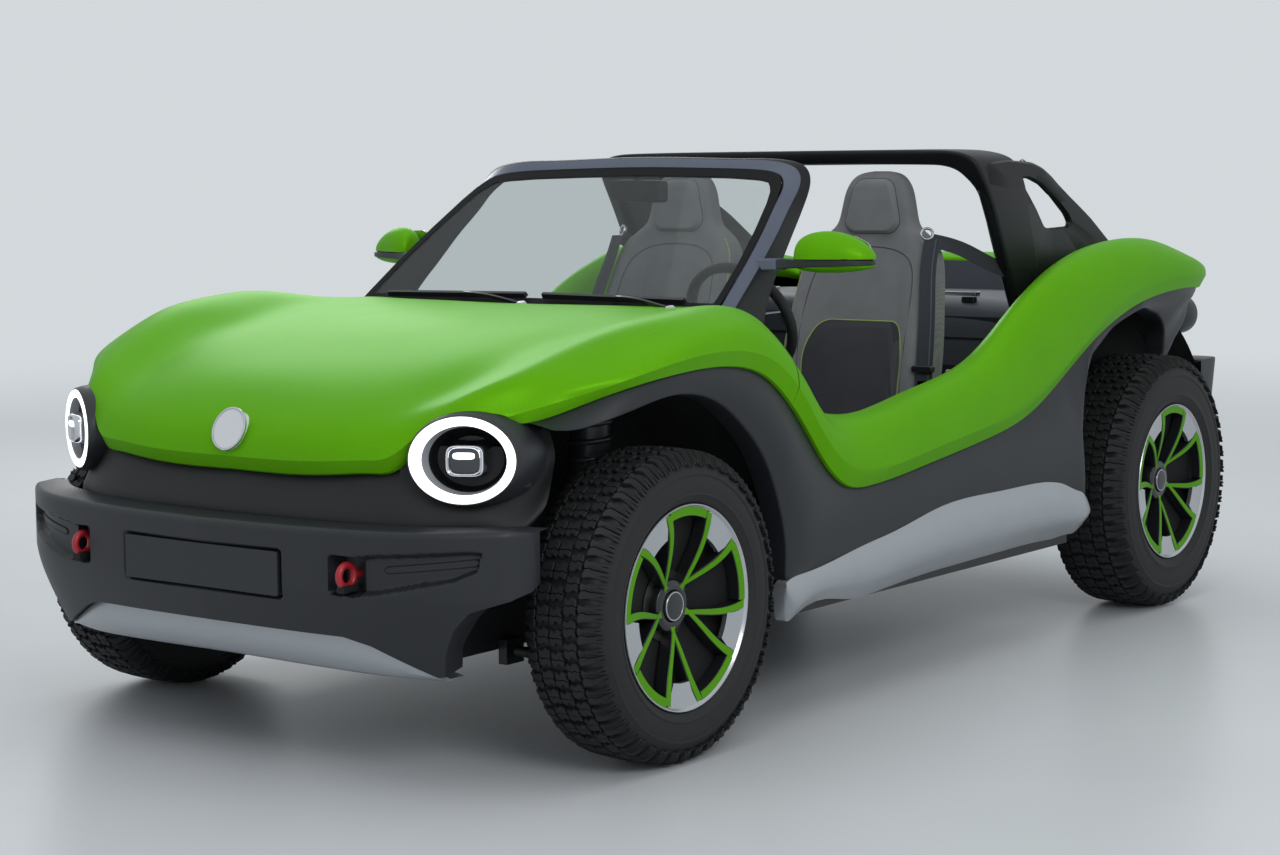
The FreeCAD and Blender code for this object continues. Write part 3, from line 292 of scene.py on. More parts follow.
def frames(path, up, closed):
    """Unit vectors along, beside and above a path: beside is up x along, made unit."""
    along = (np.roll(path, -1, 0) - np.roll(path, 1, 0) if closed
             else np.gradient(path, axis=0))
    along /= np.linalg.norm(along, axis=1, keepdims=True)
    beside = np.cross(np.broadcast_to(up, along.shape), along)
    beside /= np.linalg.norm(beside, axis=1, keepdims=True)
    return along, beside, np.cross(along, beside)


def swept(path, section, up=(0, 0, 1), closed=False):
    """A closed section of (beside, above) offsets u and v carried along a path, open or
    closed: each ring is path + beside * u + above * v."""
    path, section = np.asarray(path, float), np.asarray(section, float)
    along, beside, above = frames(path, np.asarray(up, float), closed)
    rings = path[:, None] + (beside[:, None] * section[None, :, :1]
                             + above[:, None] * section[None, :, 1:])
    return grid(rings, wrap_rows=closed, wrap_cols=True, cap_rows=not closed)


def circle(radius, count=16):
    """A circular section."""
    angle = ring(count)
    return radius * np.stack([np.cos(angle), np.sin(angle)], 1)


def lathe(profile, centre, axis=(1, 0, 0), count=96, closed=False):
    """A profile of (along, radius) pairs turned about an axis through centre. closed joins
    the profile's last pair to its first, for a ring. Otherwise radius 0 closes an end."""
    profile = np.asarray(profile, float)
    axis = np.asarray(axis, float) / np.linalg.norm(axis)
    side = np.cross(axis, (0.0, 0.0, 1.0) if abs(axis[2]) < 0.9 else (0.0, 1.0, 0.0))
    side /= np.linalg.norm(side)
    other = np.cross(axis, side)
    angle = ring(count)[:, None, None]
    spoke = side * np.cos(angle) + other * np.sin(angle)
    points = np.asarray(centre) + axis * profile[None, :, :1] + spoke * profile[None, :, 1:]
    return grid(points, wrap_rows=True, wrap_cols=closed, flip=True)


def slab(outline, low, high, axis="x"):
    """A 2-D outline as a prism between two places on an axis. The outline's own two
    numbers are the other two coordinates, in x, y, z order."""
    outline = np.asarray(outline, float)
    spots = {"x": (1, 2, 0), "y": (0, 2, 1), "z": (0, 1, 2)}[axis]
    rings = np.zeros((2, len(outline), 3))
    rings[:, :, spots[0]] = outline[:, 0]
    rings[:, :, spots[1]] = outline[:, 1]
    rings[:, :, spots[2]] = np.array([low, high])[:, None]
    return tube(rings)


def plank(x0, x1, y0, y1, radius, low, high, axis="y"):
    """A slab whose outline is a rectangle with rounded corners."""
    corners = ((x0, y0), (x1, y0), (x1, y1), (x0, y1))
    return slab(rounded(corners, radius), low, high, axis)


def extruded(xs, profile):
    """A (y, z) profile repeated at each x, as an array that can still be shaped."""
    rings = np.empty((len(xs), len(profile), 3))
    rings[..., 0] = np.asarray(xs)[:, None]
    rings[..., 1:] = np.asarray(profile)[None]
    return rings


# %% Meshes and modifiers
def piece(name, shape, material, body="chassis", slot=None, replaces=(), sharp=30.0,
          recalculate=True):
    """A Blender object from a shape: it rides on body, stands for the CAD nodes in replaces,
    and keeps edges sharper than sharp degrees crisp. slot is not used. An open sheet, whose
    faces already look out, leaves recalculate off."""
    points, faces = shape
    mesh = bpy.data.meshes.new(name)
    mesh.from_pydata(points.tolist(), [], [f for group in faces for f in group.tolist()])
    mesh.materials.append(material)
    made = bpy.data.objects.new(name, mesh)
    bpy.context.scene.collection.objects.link(made)
    if recalculate:
        outward(made)
    mesh.shade_smooth()
    mesh.set_sharp_from_angle(angle=math.radians(sharp))
    if body:
        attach(made, body)
    if replaces:
        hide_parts(*replaces)
    return made


def outward(made):
    """Merge doubled points, 0.01 mm apart or less, and turn every face outwards."""
    work = bmesh.new()
    work.from_mesh(made.data)
    bmesh.ops.remove_doubles(work, verts=work.verts, dist=1e-5)
    bmesh.ops.recalc_face_normals(work, faces=work.faces)
    work.to_mesh(made.data)
    work.free()


def bevel(made, width, segments=3):
    """Round the edges sharper than 35 degrees by width."""
    step = made.modifiers.new("rounded", "BEVEL")
    step.width = width
    step.segments = segments
    step.limit_method = "ANGLE"
    step.angle_limit = math.radians(35.0)
    step.harden_normals = True
    made.data.shade_smooth()


print("helpers ready")

# %% Floor and light
BACKDROP, BACKDROP_LEVEL = "#dde3e6", 0.9


def seen_directly(tree):
    """1 for camera, glossy and transmission rays and 0 for the rest, which is the greatest
    of those three flags: they see the backdrop, and it lights nothing."""
    path = add_node(tree, "LightPath")
    first = add_node(tree, "Math", {0: path.outputs["Is Camera Ray"],
                                    1: path.outputs["Is Glossy Ray"]}, operation="MAXIMUM")
    return add_node(tree, "Math", {0: first.outputs[0], 1: path.outputs["Is Transmission Ray"]},
                    operation="MAXIMUM")


def pale_floor():
    """Poured pale resin: light grey, faintly mottled over half metres, softly glossy. From
    3 to 13 m out it turns into the backdrop's own tone, so no horizon shows."""
    sockets = {"Base Color": linear("#d6d8da"), "Roughness": 0.32, "Specular IOR Level": 0.3}
    material, tree, shader = new_material("poured_resin_floor", sockets)
    mottle = add_node(tree, "TexNoise", {"Vector": object_place(tree), "Scale": per_mm(600),
                                         "Detail": 4.0})
    tint = add_node(tree, "Mix", {"Factor": mottle.outputs[0], "A": linear("#d6d9dc"),
                                  "B": linear("#dee0e2")}, data_type="RGBA")
    tree.links.new(tint.outputs["Result"], shader.inputs["Base Color"])
    far = add_node(tree, "VectorMath", {"Vector": object_place(tree)}, operation="LENGTH")
    fade = add_node(tree, "MapRange", {"Value": far.outputs["Value"], "From Min": 3.2,
                                       "From Max": 13.0}, interpolation_type="SMOOTHSTEP")
    share = add_node(tree, "Math", {0: fade.outputs[0], 1: seen_directly(tree).outputs[0]},
                     operation="MULTIPLY")
    glow = add_node(tree, "Emission", {"Color": linear(BACKDROP), "Strength": BACKDROP_LEVEL})
    mixed = add_node(tree, "MixShader", {0: share.outputs[0], 1: shader.outputs[0],
                                         2: glow.outputs[0]})
    target = next(n for n in tree.nodes if n.bl_idname == "ShaderNodeOutputMaterial")
    tree.links.new(mixed.outputs[0], target.inputs["Surface"])
    return material


FAR = 60.0
floor_shape = grid([[(x, y, 0) for x in (-FAR, FAR)] for y in (-FAR, FAR)], flip=True)
piece("floor", floor_shape, pale_floor(), body=None, recalculate=False)


def soft_box(name, place, target, width, height, power, shine=1.0, colour="#ffffff"):
    """An area lamp at place, looking at target."""
    lamp = bpy.data.lights.new(name, "AREA")
    lamp.shape = "RECTANGLE"
    lamp.size, lamp.size_y = width, height
    lamp.energy = power
    lamp.specular_factor = shine
    lamp.color = linear(colour)[:3]
    made = bpy.data.objects.new(name, lamp)
    made.visible_glossy = shine > 0.5
    bpy.context.scene.collection.objects.link(made)
    sight = np.array(target, float) - np.array(place, float)
    sight /= np.linalg.norm(sight)
    side = np.cross(sight, (0, 0, 1.0) if abs(sight[2]) < 0.99 else (0, 1.0, 0))
    side /= np.linalg.norm(side)
    axes = np.stack([side, np.cross(side, sight), -sight], 1)
    made.matrix_world = Matrix.Translation(place) @ Matrix(axes.tolist()).to_4x4()


soft_box("overhead", (0.2, -0.4, 5.6), (0.1, -0.2, 0), 6.5, 7.5, 105, shine=0.15)
soft_box("front_left", (5.8, -4.2, 4.2), (0, -0.4, 0.6), 3.4, 2.2, 110)
soft_box("rear_right", (-4.6, 3.6, 3.4), (0, 0.2, 0.8), 3.5, 2.0, 70)


def studio_world():
    """A pale room: an even grey-white for the light, and a backdrop that camera, glossy
    and transmission rays see."""
    world = bpy.data.worlds.new("studio")
    world.use_nodes = True
    tree = world.node_tree
    tree.nodes.clear()
    light = add_node(tree, "Background", {"Color": linear("#dfe5ea"), "Strength": 0.62})
    back = add_node(tree, "Background", {"Color": linear(BACKDROP), "Strength": BACKDROP_LEVEL})
    mixed = add_node(tree, "MixShader", {0: seen_directly(tree).outputs[0], 1: light.outputs[0],
                                         2: back.outputs[0]})
    add_node(tree, "OutputWorld", {"Surface": mixed.outputs[0]})
    return world


bpy.context.scene.world = studio_world()
print("stage ready")

# %% [markdown]
# ## Green body
# The upper body is a moulded shell in satin metallic green: a broad hood with a valley on
# each side, two round wheel crests, and a rail that dips at the door and climbs over the
# rear wheel to the tail. A clear coat over fine metal flake gives it a soft bright streak
# along every crest and a cooler, greyer green where it mirrors the ceiling. A surface of
# this kind is read by its highlights, so its curvature has to run on evenly. Natural
# cubic splines through a small table of points give that, in both directions.

# %% Paint
def metallic_paint(name, colour, edge, rough=0.46):
    """Metallic basecoat under clear lacquer: flakes about a millimetre wide tip the
    normal a little, and the coat above them stays smooth."""
    sockets = {"Base Color": linear(colour), "Metallic": 0.28, "Roughness": rough,
               "Specular IOR Level": 0.15, "Coat Weight": 0.06, "Coat Roughness": 0.26,
               "Coat IOR": 1.45, "Specular Tint": linear("#9ade60")}
    material, tree, shader = new_material(name, sockets)
    place = object_place(tree)
    flake = add_node(tree, "TexVoronoi", {"Vector": place, "Scale": per_mm(1.6)}, feature="F1")
    drift = add_node(tree, "TexNoise", {"Vector": place, "Scale": per_mm(140), "Detail": 2.0})
    tint = add_node(tree, "Mix", {"Factor": drift.outputs[0], "A": linear(colour),
                                  "B": linear(edge)}, data_type="RGBA")
    glint = add_node(tree, "Mix", {"Factor": 0.12, "A": tint.outputs["Result"],
                                   "B": flake.outputs["Color"]},
                     data_type="RGBA", blend_type="SOFT_LIGHT")
    tree.links.new(glint.outputs["Result"], shader.inputs["Base Color"])
    relief = add_node(tree, "Bump", {"Height": flake.outputs["Distance"], "Strength": 0.04,
                                     "Distance": 0.0002})
    tree.links.new(relief.outputs[0], shader.inputs["Normal"])
    return material


green_paint = metallic_paint("metallic_lacquer_green", "#62ad0c", "#69b512")

# %% Body tables
# Rows run from the nose to the rear edge at the door. Columns run from the centre over
# the hood, the valley and the inner shoulder.
# centre, hood, outer hood, valley, inner shoulder
HOOD = mm(numbers("""
0 -1926 735  300 -1920 740  430 -1906 749  500 -1888 765  579 -1838 838
0 -1912 790  300 -1905 795  430 -1885 804  500 -1860 823  586 -1806 872
0 -1800 880  300 -1790 880  430 -1766 880  512 -1737 885  616 -1690 922
0 -1550 960  300 -1548 959  440 -1543 957  546 -1535 956  660 -1515 984
0 -1350 1004  300 -1350 1002  450 -1348 999  566 -1345 997  674 -1345 1025
0 -1150 1030  300 -1148 1030  460 -1144 1030  585 -1140 1031  690 -1146 1052
0 -1000 1042  300 -992 1043  463 -984 1045  592 -975 1046  700 -995 1062
0 -862 1049  300 -850 1051  463 -826 1051  590 -790 1050  704 -815 1040""", 5, 3))
# The four outer columns run on from the clamshell into the side rail, row by row.
# crest, outer shoulder, flank, crease
RAIL = mm(numbers("""
650 -1791 863  692 -1756 858  707 -1744 854  716 -1736 850
664 -1755 896  716 -1712 886  744 -1696 874  754 -1696 865
712 -1668 940  778 -1640 924  820 -1622 907  833 -1608 897
765 -1500 1001  842 -1498 975  893 -1492 950  908 -1486 937
800 -1345 1044  876 -1345 1022  922 -1345 990  933 -1345 964
812 -1150 1068  886 -1150 1050  929 -1150 1012  937 -1150 972
824 -1000 1066  890 -1000 1036  929 -1000 988  936 -1000 944
840 -870 1003  896 -870 952  926 -870 906  932 -870 865
845 -792 918  896 -792 878  924 -792 832  930 -792 786
842 -698 806  890 -698 788  920 -698 744  926 -698 694
840 -602 772  886 -602 752  918 -602 696  924 -602 636
838 -478 762  888 -478 748  918 -478 686  923 -478 618
840 -167 802  890 -167 786  919 -167 722  925 -167 650
844 169 880  892 169 866  921 169 786  927 169 692
846 407 1016  896 407 996  926 407 880  931 407 754
852 593 1098  904 593 1070  932 593 962  935 593 840
856 786 1154  910 786 1124  938 786 1038  939 786 941
858 987 1178  914 987 1150  943 987 1088  943 987 1014
858 1199 1182  914 1199 1156  944 1199 1108  944 1199 1050
850 1380 1158  904 1385 1134  936 1388 1100  938 1390 1058
828 1520 1124  884 1535 1110  912 1545 1086  914 1546 1055
786 1625 1096  834 1658 1086  860 1678 1070  863 1681 1046
728 1700 1078  758 1752 1070  776 1782 1056  778 1786 1034
668 1738 1068  676 1800 1060  680 1834 1044  681 1838 1020""", 4, 3))
# The rail's inner columns start at the door: inner top, inner face, inner foot.
RAIL_INSIDE = mm(numbers("""
796 -868 990  788 -866 930  796 -864 850
796 -792 900  785 -792 830  794 -792 752
793 -698 790  778 -698 735  789 -698 656
791 -602 756  772 -602 690  783 -602 600
788 -478 744  768 -478 686  780 -478 588
788 -167 776  764 -167 700  776 -167 602
786 169 834  758 169 760  770 169 650
782 407 938  748 407 860  760 407 716
778 593 1040  740 593 960  752 593 820
776 786 1108  736 786 1030  748 786 914
776 987 1148  733 987 1074  744 987 980
772 1199 1160  729 1199 1096  740 1199 1014
768 1365 1142  722 1350 1092  734 1352 1024
752 1485 1112  708 1458 1072  720 1462 1024
726 1570 1086  690 1528 1052  702 1536 1016
692 1620 1072  672 1560 1040  680 1570 1008
656 1650 1062  650 1575 1034  656 1585 1002""", 3, 3))
# The lower edge under the crease: a bevelled lip that leans in. It fades out over the
# headlight, where the eyebrow is only a thin edge.
NOSE_LIP = mm(numbers("""
0 -1912 704  300 -1906 709  430 -1892 719  500 -1870 736  582 -1830 830  650 -1784 856
690 -1748 850  705 -1734 842  716 -1726 834""", 3))
SIDE_LIP = mm(numbers("""
716 -1726 834  751 -1692 836  826 -1602 870  901 -1480 911  926 -1345 931  930 -1150 935
929 -1000 904  925 -870 819  922 -792 745  918 -698 652  916 -602 590  914 -478 576
915 -167 606  917 169 648  921 407 705  926 593 797  931 786 896  935 987 967  936 1199 1006
930 1388 1018  906 1542 1016  856 1675 1009  773 1778 1001  680 1828 986""", 3))
CLAMSHELL_ROWS = len(HOOD)
print(len(RAIL), "rail stations")

# %% Clamshell and rails
STEPS = 8
rail_knots = knots_of(RAIL)
rail_fine = smooth_line(RAIL, STEPS)
# The lip leans in under the crease, from nothing at the lamp to 12 mm along the sides.
lean = np.minimum(np.arange(len(SIDE_LIP)) * 0.004, 0.012)[:, None] * (1, 0, 0)
side_lip = smooth_line(SIDE_LIP - lean, STEPS, rail_knots)
CUT = (CLAMSHELL_ROWS - 1) * STEPS


def clamshell_grid():
    """The hood's columns and the front of the rail's columns as one surface, mirrored
    about the centre line before the splines run across it."""
    hood = smooth_line(HOOD, STEPS, rail_knots[:CLAMSHELL_ROWS])
    half = np.concatenate([hood, rail_fine[:CUT + 1]], 1)
    whole = np.concatenate([half[:, :0:-1] * (-1, 1, 1), half], 1)
    across = np.concatenate([-nose_knots[:0:-1], nose_knots])
    return smooth_line(whole.swapaxes(0, 1), STEPS, across).swapaxes(0, 1)


def lip_strip(crease, edge, inward, steps=3):
    """The bevelled lip: from the crease to the lower edge, then a short rolled return
    whose inner end is moved by inward."""
    rolled = edge + np.asarray(inward) * 0.35 - (0, 0, 0.004)
    inner = edge + np.asarray(inward)
    share = np.linspace(0, 1, steps + 1)[None, :, None]
    face = crease[:, None] * (1 - share) + edge[:, None] * share
    return np.concatenate([face, rolled[:, None], inner[:, None]], 1)


nose_knots = knots_of(np.concatenate([HOOD, RAIL[:CLAMSHELL_ROWS]], 1).swapaxes(0, 1))
hood_grid = clamshell_grid()
nose_half = smooth_line(NOSE_LIP, STEPS, nose_knots)
nose_lip = np.concatenate([nose_half[:0:-1] * (-1, 1, 1), nose_half])
shell_shape = grid(hood_grid, flip=True)
nose_strip = lip_strip(hood_grid[0], nose_lip, (0, 0.024, 0))
side_strip = lip_strip(hood_grid[:, -1], side_lip[:CUT + 1], (-0.026, 0, 0.004))
lip_shape = joined(grid(nose_strip), grid(side_strip, flip=True),
                   flipped(grid(side_strip, flip=True)))
clamshell = piece("front_clamshell_skin", joined(shell_shape, lip_shape), green_paint,
                  slot="green_paint", replaces=["front_clamshell"], sharp=28, recalculate=False)
print("clamshell", len(clamshell.data.polygons), "faces")


def rail_grid():
    """The rail's closed section at each fine station: crease, flank, shoulder, crest and
    inner side as one spline, then the lip and a flat underside back to the inner foot."""
    inside = smooth_line(RAIL_INSIDE, STEPS, rail_knots[CLAMSHELL_ROWS - 1:])
    outside = rail_fine[CUT:][:, ::-1]
    section = np.concatenate([outside, inside], 1)
    table = np.concatenate([RAIL[CLAMSHELL_ROWS - 1:][:, ::-1], RAIL_INSIDE], 1)
    return smooth_across(section, table, STEPS)


rail_skin = rail_grid()
SHUT_GAP = 0.0035
rail_skin[0] += (0, SHUT_GAP, 0)
rail_lip = lip_strip(rail_skin[:, 0], side_lip[CUT:], (-0.026, 0, 0.004))
rail_ring = np.concatenate([rail_lip[:, ::-1], rail_skin[:, 1:]], 1)
rail_shape = tube(rail_ring)
for side, shape in by_side(rail_shape):
    rail = piece(f"side_rail_{side}", shape, green_paint, slot="green_paint",
                 replaces=[f"side_band_{side}"], sharp=28, recalculate=False)
print("rail", len(rail.data.polygons), "faces")

# %% [markdown]
# ## Dark lower body
# Under the green lip the body is one large moulding in dark, finely grained plastic. It
# fills the side between the arches, hugs the front arch with a rolled edge, and leaves a
# tall opening round the rear wheel, behind which it returns as a fin under the tail. It is
# made as a ribbon between two lines, the green lip above and the arch or sill below.

# %% Lower body side
dark_panel = grained("moulded_grained_plastic", "#1c1e23", "#212429", 1.5, 0.46, bump=0.12)
silver_trim = grained("satin_silver_paint", "#abb0b4", "#b1b6ba", 2.0, 0.36, bump=0.03,
                      Metallic=0.6)
black_liner = grained("black_pressed_felt", "#0b0c0d", "#101112", 4.0, 0.85, bump=0.3)
WHEEL = {"front": (-1340, 376), "rear": (1310, 404)}
# Each row pairs a station (y) under the lip with a point on the arch or sill (x, y, z).
SIDE = numbers("""
-1700 800 -1690 822  -1660 832 -1640 822  -1585 868 -1570 842  -1490 896 -1480 868
-1345 907 -1350 888  -1180 907 -1200 866  -1060 907 -1090 806  -960 907 -1000 728
-870 907 -940 640  -792 907 -900 545  -698 907 -880 452  -630 907 -878 386  -560 907 -815 386
-478 907 -690 402  -330 907 -528 422  -167 907 -300 455  0 907 -114 481  169 907 60 487
290 907 226 487  407 907 400 487  500 907 560 470  560 907 660 448  593 907 740 425
640 906 718 485  680 905 697 547  715 905 682 620  745 905 686 702  775 905 703 761
800 906 737 814  830 908 790 852  870 911 850 890  920 916 908 926  1010 921 1005 957
1100 922 1100 976  1230 900 1200 962  1388 875 1300 946  1542 858 1372 924  1675 845 1416 898
1778 836 1440 868""", 4)
# Behind the rear wheel the panel turns in as a fin: pairs (x, y, z) back and front.
FIN = numbers("""
778 1733 956 832 1447 830  785 1640 913 830 1448 812  792 1585 870 828 1446 796
800 1540 835 826 1442 780  806 1500 791 824 1437 764  810 1480 752 822 1432 748""", 6)


def side_ribbon():
    """Across the ribbon, share 0 at the lip to 1 at the arch: a straight line plus a
    bulge of 4 * share * (1 - share), then a quarter round of 10 mm and a return inwards."""
    top = [np.interp(SIDE[:, 0], side_lip[:, 1] * 1000, side_lip[:, n] * 1000) for n in (0, 2)]
    lines = np.column_stack([top[0] - 12, SIDE[:, 0], top[1] + 2, SIDE[:, 1:]])
    line = np.concatenate([lines, FIN])
    fine = smooth_line(line, 5, np.arange(len(line)))
    top, low = mm(fine[:, :3]), mm(fine[:, 3:])
    gap = np.linalg.norm(top - low, axis=1)
    share = np.linspace(0, 1, 9)[:, None]
    bulge = np.clip(gap * 0.1, 0.002, 0.02)
    face = top[:, None] * (1 - share) + low[:, None] * share
    face[..., 0] += bulge[:, None] * (4 * share * (1 - share))[:, 0]
    face[..., 0] = np.minimum(face[..., 0], 0.934)
    down = low - top
    down /= np.linalg.norm(down, axis=1, keepdims=True)
    turn = np.radians((30, 60, 90))[:, None]
    roll = low[:, None] + 0.01 * (down[:, None] * np.sin(turn)
                                   - np.array([1.0, 0, 0]) * (1 - np.cos(turn)))
    inner = roll[:, -1:] - (0.055, 0, 0)
    tucked = top[:, None] - (0.02, 0, 0)
    return grid(np.concatenate([tucked, face, roll, inner], 1), flip=True)


ribbon = side_ribbon()
for side, shape in by_side(ribbon):
    panel = piece(f"lower_body_{side}", shape, dark_panel, slot="dark_panel",
                  replaces=[f"side_panel_{side}"], sharp=50, recalculate=False)
print("lower body", len(panel.data.polygons), "faces")

# %% [markdown]
# ## Sill plates
# A satin silver plate guards each sill. It bulges outwards, has a crisp upper edge with a
# fine shadow over it, rolls under at the bottom, and ends in a rounded tip by each wheel.

# %% Sill plates
SILL = numbers("""
-893 372 350  -870 380 288  -815 386 275  -528 422 277  -362 442 281  -114 481 285  226 487 290
468 485 294  600 466 297  692 437 302  748 410 318  768 385 345""", 3)


def sill_shell():
    """At each station the section runs from the top edge over a bulge of
    sin(pi * share) ** 0.8 to the rolled under bottom edge, then returns inside."""
    fine = smooth_line(SILL, 6, knots_of(SILL[:, :1]))
    share = np.linspace(0, 1, 11)
    y = np.repeat(fine[:, :1], len(share), 1)
    z = fine[:, 1:2] * (1 - share) + fine[:, 2:3] * share
    tall = (fine[:, 1:2] - fine[:, 2:3]) / 200
    x = 908 + 15 * np.sin(np.pi * np.minimum(share * 1.25, 1)) * np.clip(tall, 0, 1)
    x -= 48 * np.clip(share - 0.62, 0, 1) ** 1.5 / 0.38 ** 1.5 * np.clip(tall, 0.3, 1)
    face = mm(np.stack([x, y, z], 2))
    top_back = face[:, :1] - (0.03, 0, -0.001)
    low_back = face[:, -1:] - (0.03, 0, 0)
    return tube(np.concatenate([top_back, face, low_back], 1))


sill_shape = sill_shell()
sills = piece("sill_plate_pair", both_sides(sill_shape), silver_trim, slot="silver_trim",
              replaces=["sill_plates"], sharp=40)
print("sills", len(sills.data.polygons), "faces")

# %% [markdown]
# ## Nose panel and wheel housings
# Between the green lip and the bumper a near-black panel sinks back, so the two look as
# if they float. Felt-black housings close the space over each wheel.

# %% Nose panel and housings
NOSE_PANEL = mm(numbers("""
0 -1880 718  0 -1902 688  0 -1926 640  0 -1934 590  0 -1900 560
300 -1872 720  300 -1894 688  300 -1917 640  300 -1925 590  300 -1890 560
490 -1845 738  494 -1862 700  500 -1884 640  502 -1892 590  495 -1866 560
570 -1795 760  580 -1812 700  592 -1836 640  598 -1844 590  585 -1826 560
640 -1735 770  660 -1745 700  684 -1766 640  692 -1776 590  675 -1760 560
690 -1664 790  715 -1672 710  738 -1696 650  746 -1732 600  728 -1748 570
716 -1598 820  744 -1606 760  766 -1646 700  772 -1680 640  752 -1706 600""", 5, 3))
nose_shape = grid(smooth_grid(NOSE_PANEL, 6, 5), flip=True)
nose = piece("nose_panel", both_sides(nose_shape),
             grained("black_moulded_plastic", "#0b0c0e", "#181a1c", 1.5, 0.6), slot="dark_paint",
             sharp=60, recalculate=False)


def housing(end, inner_x, radius, from_deg, to_deg, outer_x=0.872):
    """A wheel housing: an arc about the wheel's axle, in two rings from the body side
    inwards, closed by an inner wall down to the axle's level."""
    y, z = (v / 1000 for v in WHEEL[end])
    angle = np.radians(np.linspace(from_deg, to_deg, 33))
    arc = np.stack([y - radius * np.cos(angle), z + radius * np.sin(angle)], 1)
    rows = [np.column_stack([np.full(33, x), arc]) for x in (outer_x, inner_x + 0.03)]
    rows.append(np.column_stack([np.full(33, inner_x), (arc - (y, z)) * 0.97 + (y, z)]))
    rows.append(np.column_stack([np.full(33, inner_x), (arc - (y, z)) * 0.4 + (y, z)]))
    return grid(np.array(rows))


front_housing = housing("front", 0.515, 0.52, 62, 168, outer_x=0.845)
rear_housing = housing("rear", 0.66, 0.56, 40, 150, outer_x=0.8)
piece("front_housings", both_sides(front_housing), black_liner, slot="dark_paint", sharp=50,
      recalculate=False)
piece("rear_housings", both_sides(rear_housing), black_liner, slot="dark_paint", sharp=50,
      recalculate=False)
print("housings ready")

# %% [markdown]
# ## Front bumper
# The bumper is a thick moulding of the same grained plastic. Its face curves round in
# plan, leans back at the chin, and has soft recesses: one for the number plate, a pocket
# for each red towing eye, and a long hollow outboard of each eye. The recesses are part of
# one fine grid: the distance to each outline decides how far a point sinks.

# %% Bumper
BUMPER_FACE = numbers("""
0 -2031  300 -2018  520 -1990  700 -1925  780 -1866  812 -1825  823 -1796""", 2)
BUMPER_FOOT = numbers("""
0 352  415 349  485 332  570 292  628 264  644 268  662 323  693 382  730 424  803 450  823 466""", 2)
BUMPER_TOP = numbers("""
0 600  300 601  520 603  700 606  800 608  823 600""", 2)
HOLLOW = numbers("""
452 540  523 551  729 566  760 563  750 514  703 491  521 453  452 447""", 2)
PLATE = {"centre": (0, 486), "half": (268, 60)}
TOW = (0.448, -1.993, 0.496)


def box_distance(x, z, centre, half, radius):
    """Distance outside a rounded rectangle, negative inside: the length of what is left
    of |p - centre| beyond half - radius, less radius."""
    a = np.abs(x - centre[0]) - half[0] + radius
    b = np.abs(z - centre[1]) - half[1] + radius
    return np.hypot(np.maximum(a, 0), np.maximum(b, 0)) + np.minimum(np.maximum(a, b), 0) - radius


def hull_distance(x, z, corners):
    """Distance beyond the farthest side of a clockwise convex outline."""
    side = np.roll(corners, -1, 0) - corners
    out = np.stack([-side[:, 1], side[:, 0]], 1) / np.linalg.norm(side, axis=1, keepdims=True)
    return np.max([(x - c[0]) * n[0] + (z - c[1]) * n[1] for c, n in zip(corners, out)], axis=0)


def sink(distance, wall):
    """0 outside an outline and 1 once wall deep inside it, with a smooth step between."""
    t = np.clip(-distance / wall, 0, 1)
    return t * t * (3 - 2 * t)


def bumper_face(x, z):
    """The y of the bumper's face in mm: the plan curve, a lean of the chin, and recesses."""
    wide = np.abs(x)
    plan = spline(*BUMPER_FACE.T, np.clip(wide, 0, 823).ravel()).reshape(x.shape)
    chin = np.clip((455 - z) / 200, 0, 1)
    plan = plan + 78 * chin ** 1.35
    plan += 16 * sink(box_distance(x, z, PLATE["centre"], PLATE["half"], 12), 9)
    hollow = sink(hull_distance(wide, z, HOLLOW), 14)
    pocket = sink(box_distance(wide, z, (448, 496), (43, 46), 12), 8)
    return plan + np.maximum(24 * hollow, 52 * pocket)


def bumper_shell(stations=331):
    """The face as a grid in x and height, with a rounded top edge, a flat top and a back."""
    x = np.linspace(-823, 823, stations)[:, None]
    foot = np.interp(np.abs(x), *BUMPER_FOOT.T)
    top = np.interp(np.abs(x), *BUMPER_TOP.T)
    share = np.linspace(0, 1, 57)[None]
    z = foot + (top - 16 - foot) * share
    wide = np.broadcast_to(x, z.shape)
    face = bumper_face(wide, z)
    turn = np.radians(np.linspace(15, 90, 6))[None]
    edge = face[:, -1:]
    lip_y = edge + 16 * (1 - np.cos(turn))
    lip_z = top - 16 + 16 * np.sin(turn)
    back = np.minimum(edge + 110, -1760)
    ys = np.concatenate([np.minimum(face[:, :1] + 60, -1765), face[:, :1] + 6, face, lip_y,
                         edge + 70, back, back], 1)
    zs = np.concatenate([foot + 14, foot, z, lip_z, top + 4, top, foot + 20], 1)
    xs = np.broadcast_to(x, ys.shape)
    return tube(mm(np.stack([xs, ys, zs], 2)))


bumper = piece("front_bumper_moulding", bumper_shell(), dark_panel, slot="dark_panel",
               replaces=["front_bumper"], sharp=45)
print("bumper", len(bumper.data.polygons), "faces")


def on_bumper(outline, lift):
    """A 2-D outline (x, z) in mm laid on the bumper's face and raised by lift mm."""
    points = np.asarray(outline, float)
    y = bumper_face(points[:, 0], points[:, 1]) - lift
    return mm(np.stack([points[:, 0], y, points[:, 1]], 1))


def raised_bar(start, end, half, low, high, count=25):
    """A bar with rounded ends along the bumper from start to end, from low to high mm."""
    axis = np.linspace(0, 1, count)[:, None]
    middle = np.array(start, float) * (1 - axis) + np.array(end, float) * axis
    width = half * np.sqrt(np.clip(1 - np.abs(axis * 2 - 1) ** 30, 0.05, 1))
    upper, lower = middle + (0, 1) * width, middle - (0, 1) * width
    rows = [on_bumper(lower, low), on_bumper(lower, high), on_bumper(upper, high),
            on_bumper(upper, low)]
    return tube(np.stack(rows, 1))
